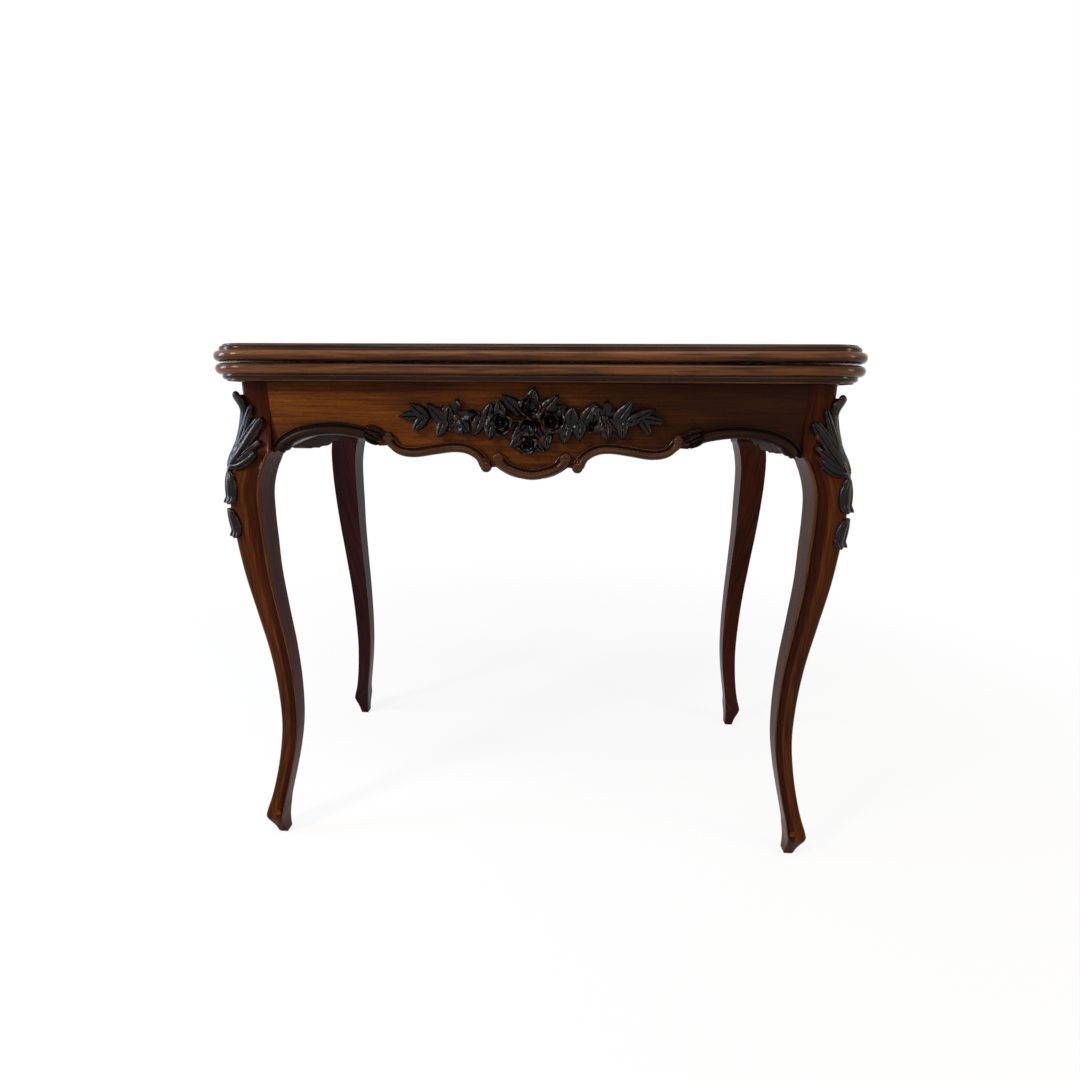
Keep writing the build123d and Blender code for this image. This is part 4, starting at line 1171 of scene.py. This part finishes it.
# lobes: line of (distance from the corner, height), width, crown, curl and places of the grooves
one_groove, two_grooves = (0.0,), (-0.42, 0.42)
knee_lobes = (
    (((0.5, 590), (1.5, 622), (1.5, 648), (1.5, 666), (2, 679)), 11.0, 5.4, 1.7, one_groove),
    (((2, 590), (4, 620), (7, 644), (12.5, 666)), 12.5, 5.8, 0.4, one_groove),
    (((3, 590), (9, 612), (17, 632), (28.5, 650)), 21.0, 7.6, 0.3, two_grooves),
    (((4, 590), (13, 601), (22, 611), (32, 620)), 13.0, 5.8, 0.8, one_groove),
    (((4, 588), (12, 589), (20, 594), (31, 605)), 18.0, 6.8, 0.4, two_grooves),
)
knee = Form()
for sign in (1, -1):
    for path, *shape in knee_lobes:
        plume(knee, [(sign * s, z) for s, z in path], *shape)
knee.join(knee_root()).join(curled_tip())
knee.pair("knee_acanthus_{}", carving_wood, "ebonised_carving", "knee_leaf_{}", sharp=50)

# two husks below the knee, each of two halves that meet on the corner
husk = Form()
for top, bottom, width in ((579, 537, 14.4), (529, 490, 12.96)):
    for sign in (1, -1):
        path = ((1.0, top), (5.5, lerp(top, bottom, 0.3)), (7.0, lerp(top, bottom, 0.7)), (5.0, bottom))
        plume(husk, [(sign * s, z) for s, z in path], width, 5.6, 0.7)
husk.pair("knee_husks_{}_carved", carving_wood, "ebonised_carving", "knee_husks_{}", sharp=50)


# slotted screws of the hinges and of the pivot's plate
hinge_x = half_width - 38.0
hinge_length = 62.0
hinge_screw_shares = (0.3, 0.56, 0.82)
pivot_place = leaf_depth / 4
screw_circle = 25.0
screw_head_radius = 3.8
screw_radius = 2.0
screw_head_height = 2.2
screw_length = 13.0
screw_point = 3.0
slot_half_width = 0.45
slot_depth = 1.1


def screw_form():
    """Countersunk screw with its slotted head's top at the origin, pointing down."""
    form = Form()
    slope = (screw_head_radius - screw_radius) / screw_head_height
    floor_radius = screw_head_radius - slope * slot_depth
    for side in (1, -1):
        rings = []
        for radius, z in ((floor_radius, -slot_depth), (screw_head_radius - 0.15, -0.2),
                          (screw_head_radius - 0.35, 0.0)):
            reach = math.acos(slot_half_width / radius)
            turns = [reach * (k / 12 - 1) for k in range(25)]
            rings.append([(side * radius * math.cos(t), side * radius * math.sin(t), z, 0.0)
                          for t in turns])
        form.skin(rings)
    turns = [math.tau * k / 24 for k in range(24)]
    shank = ((0.2, -screw_length), (screw_radius, screw_point - screw_length),
             (screw_radius, -screw_head_height), (floor_radius, -slot_depth))
    return form.skin([[(r * math.cos(t), r * math.sin(t), z, 0.0) for t in turns] for r, z in shank])


def screw_tree():
    """One screw on each point, turned as its slot was left."""
    grow = Grower("slotted_screws", {"Screw": nothing, "Material": old_brass})
    return grow.finish(grow.instances(grow.inputs["Geometry"], grow.shapes["Screw"]))


screw_helper = helper(screw_form().mesh("screw"))
screwed = screw_tree()


def screws(plate, places, level, head, body, material):
    """The screws of a plate, with their heads looking up (0) or down (pi)."""
    turns = [(head, 0.0, draw.uniform(0.0, math.pi)) for place in places]
    points = points_mesh(plate + "_points", [(x, y, level) for x, y in places], {
        "turn": turns, "size": [(1.0, 1.0, 1.0)] * len(places)})
    made = screwed.mesh(plate + "_slotted", points, {"Screw": screw_helper, "Material": material})
    dress(made, plate + "_slotted", body, plate)


hinge_places = [(side * hinge_x, half_depth - hinge_length * share)
                for side in (1, -1) for share in hinge_screw_shares]
corners = [math.radians(45 + 90 * k) for k in range(4)]
pivot_places = [(pivot_place + screw_circle * math.cos(t), pivot_place + screw_circle * math.sin(t))
                for t in corners]
screws("lower_hinge_screws", hinge_places, lower_inner_face, 0.0, "lower_leaf", old_brass)
screws("upper_hinge_screws", hinge_places, upper_inner_face, math.pi, "upper_leaf", old_brass)
screws("pivot_screws", pivot_places, rail_top + turning_clearance, math.pi, "lower_leaf", black_iron)


# baize
def cloth(name, level, side, body, replaced):
    """Sheet of baize with a faint unevenness; side is 1 where its face looks up."""
    thickness, uneven = 1.0, 0.05
    half = half_width - baize_border
    front, back = baize_border - half_depth, half_depth - baize_back_border
    along, across = 60, 32
    rings = []
    for i in range(along + 1):
        x = -half + 2 * half * i / along
        ys = [front + (back - front) * j / across for j in range(across + 1)]
        row = [(x, y, level + side * (thickness + uneven * math.sin(x * 0.31) * math.sin(y * 0.27)), 0.0)
               for y in ys]
        rings.append(row + [(x, y, level, 0.0) for y in ys[::-1]])
    form = Form().skin(rings)
    if side > 0:
        form.flipped()
    sheet = form.piece(name, baize_cloth, body, "green_baize", replaced)


cloth("lower_cloth", lower_inner_face - baize_recess, 1, "lower_leaf", "lower_baize")
cloth("upper_cloth", upper_inner_face + baize_recess, -1, "upper_leaf", "upper_baize")


# floor, light and camera
def seen_or_mirrored(tree):
    """1 on rays that come from the camera, from a mirror image or through glass."""
    path = node(tree, "ShaderNodeLightPath").outputs
    seen = node(tree, "ShaderNodeMath", {
        0: path["Is Camera Ray"], 1: path["Is Glossy Ray"]}, operation="MAXIMUM")
    return node(tree, "ShaderNodeMath", {0: seen, 1: path["Is Transmission Ray"]}, operation="MAXIMUM")


def lay_floor():
    """Pale floor that takes the table's shadow nearby and runs into the white backdrop further out."""
    reach, shadow_ends, white_from = 6.0, 0.6, 1.7
    mesh = bpy.data.meshes.new("floor")
    mesh.from_pydata([(-reach, -reach, 0), (reach, -reach, 0), (reach, reach, 0), (-reach, reach, 0)], [],
                     [(0, 1, 2, 3)])
    floor = bpy.data.objects.new("floor", mesh)
    bpy.context.scene.collection.objects.link(floor)
    made, tree, shader = surface("pale_floor")
    fill(tree, shader, {"Base Color": linear("#f4f3f1"), "Roughness": 0.9, "Specular IOR Level": 0.1})
    place = node(tree, "ShaderNodeTexCoord").outputs["Object"]
    away = node(tree, "ShaderNodeVectorMath", {0: place}, operation="LENGTH").outputs["Value"]
    white = node(tree, "ShaderNodeMapRange", {
        "Value": away, "From Min": shadow_ends, "From Max": white_from, "To Min": 0.86, "To Max": 1.0},
        interpolation_type="SMOOTHSTEP")
    amount = node(tree, "ShaderNodeMath", {0: white, 1: seen_or_mirrored(tree)}, operation="MULTIPLY")
    glow = node(tree, "ShaderNodeEmission", {"Color": linear("#ffffff"), "Strength": 1.0})
    both = node(tree, "ShaderNodeMixShader", {0: amount, 1: shader, 2: glow})
    fill(tree, next(n for n in tree.nodes if n.type == "OUTPUT_MATERIAL"), {"Surface": both})
    mesh.materials.append(made)


def light_the_room():
    """White backdrop that fills the shadows faintly, and four soft lamps."""
    world = bpy.data.worlds.new("studio")
    bpy.context.scene.world = world
    world.use_nodes = True
    tree = world.node_tree
    tree.nodes.clear()
    faint, white = [node(tree, "ShaderNodeBackground", {"Color": linear("#ffffff"), "Strength": strength})
                    for strength in (0.34, 1.0)]
    mixed = node(tree, "ShaderNodeMixShader", {0: seen_or_mirrored(tree), 1: faint, 2: white})
    node(tree, "ShaderNodeOutputWorld", {"Surface": mixed})
    # name, place and target in metres, width and height, watts, colour
    for name, place, target, size, power, colour in (
            ("key", (-1.7, -1.5, 1.6), (-0.2, 0.0, 0.5), (0.5, 0.5), 36.0, "#fff4e6"),
            ("fill", (1.9, -0.9, 1.0), (0.3, 0.0, 0.5), (0.35, 0.7), 11.0, "#ffe3c4"),
            ("window", (-2.2, -0.4, 1.1), (-0.2, 0.0, 0.5), (0.5, 0.9), 34.0, "#bcd3ff"),
            ("top", (0.0, -0.7, 2.3), (0.0, 0.0, 0.6), (1.6, 0.4), 17.0, "#ffffff")):
        data = bpy.data.lights.new(name, "AREA")
        data.shape = "RECTANGLE"
        data.size, data.size_y = size
        data.energy = power
        data.color = linear(colour)[:3]
        lamp = bpy.data.objects.new(name, data)
        bpy.context.scene.collection.objects.link(lamp)
        lamp.location = place
        lamp.rotation_mode = "QUATERNION"
        lamp.rotation_quaternion = (Vector(target) - Vector(place)).to_track_quat("-Z", "Y")


# camera fitted to the photograph: place in millimetres, turns in degrees, the rest in pixels
photo_size = 1080
camera_place = (60.0, -974.0, 672.0)
camera_yaw, camera_pitch, camera_roll = 2.96, 16.74, 0.41
focal_length = 588
view_centre = (545, 579)
sensor_width = 36.0


def set_camera():
    """Camera in the photograph's place, looking as it does."""
    yaw, pitch, roll = [math.radians(turn) for turn in (camera_yaw, camera_pitch, camera_roll)]
    forward = Vector((-math.sin(yaw) * math.cos(pitch), math.cos(yaw) * math.cos(pitch), -math.sin(pitch)))
    right = Vector((math.cos(yaw), math.sin(yaw), 0.0))
    up = right.cross(forward)
    turned_right = math.cos(roll) * right + math.sin(roll) * up
    turned_up = -math.sin(roll) * right + math.cos(roll) * up
    data = bpy.data.cameras.new("camera")
    data.sensor_width = sensor_width
    data.lens = focal_length / photo_size * sensor_width
    data.shift_x = (photo_size / 2 - view_centre[0]) / photo_size
    data.shift_y = (view_centre[1] - photo_size / 2) / photo_size
    data.clip_start = 0.05
    camera = bpy.data.objects.new("camera", data)
    bpy.context.scene.collection.objects.link(camera)
    matrix = Matrix((turned_right, turned_up, -forward)).transposed().to_4x4()
    matrix.translation = Vector(camera_place) * MM
    camera.matrix_world = matrix
    bpy.context.scene.camera = camera


lay_floor()
light_the_room()
set_camera()
bpy.context.scene.view_settings.view_transform = "Standard"

for carrier in helpers:
    bpy.data.objects.remove(carrier)
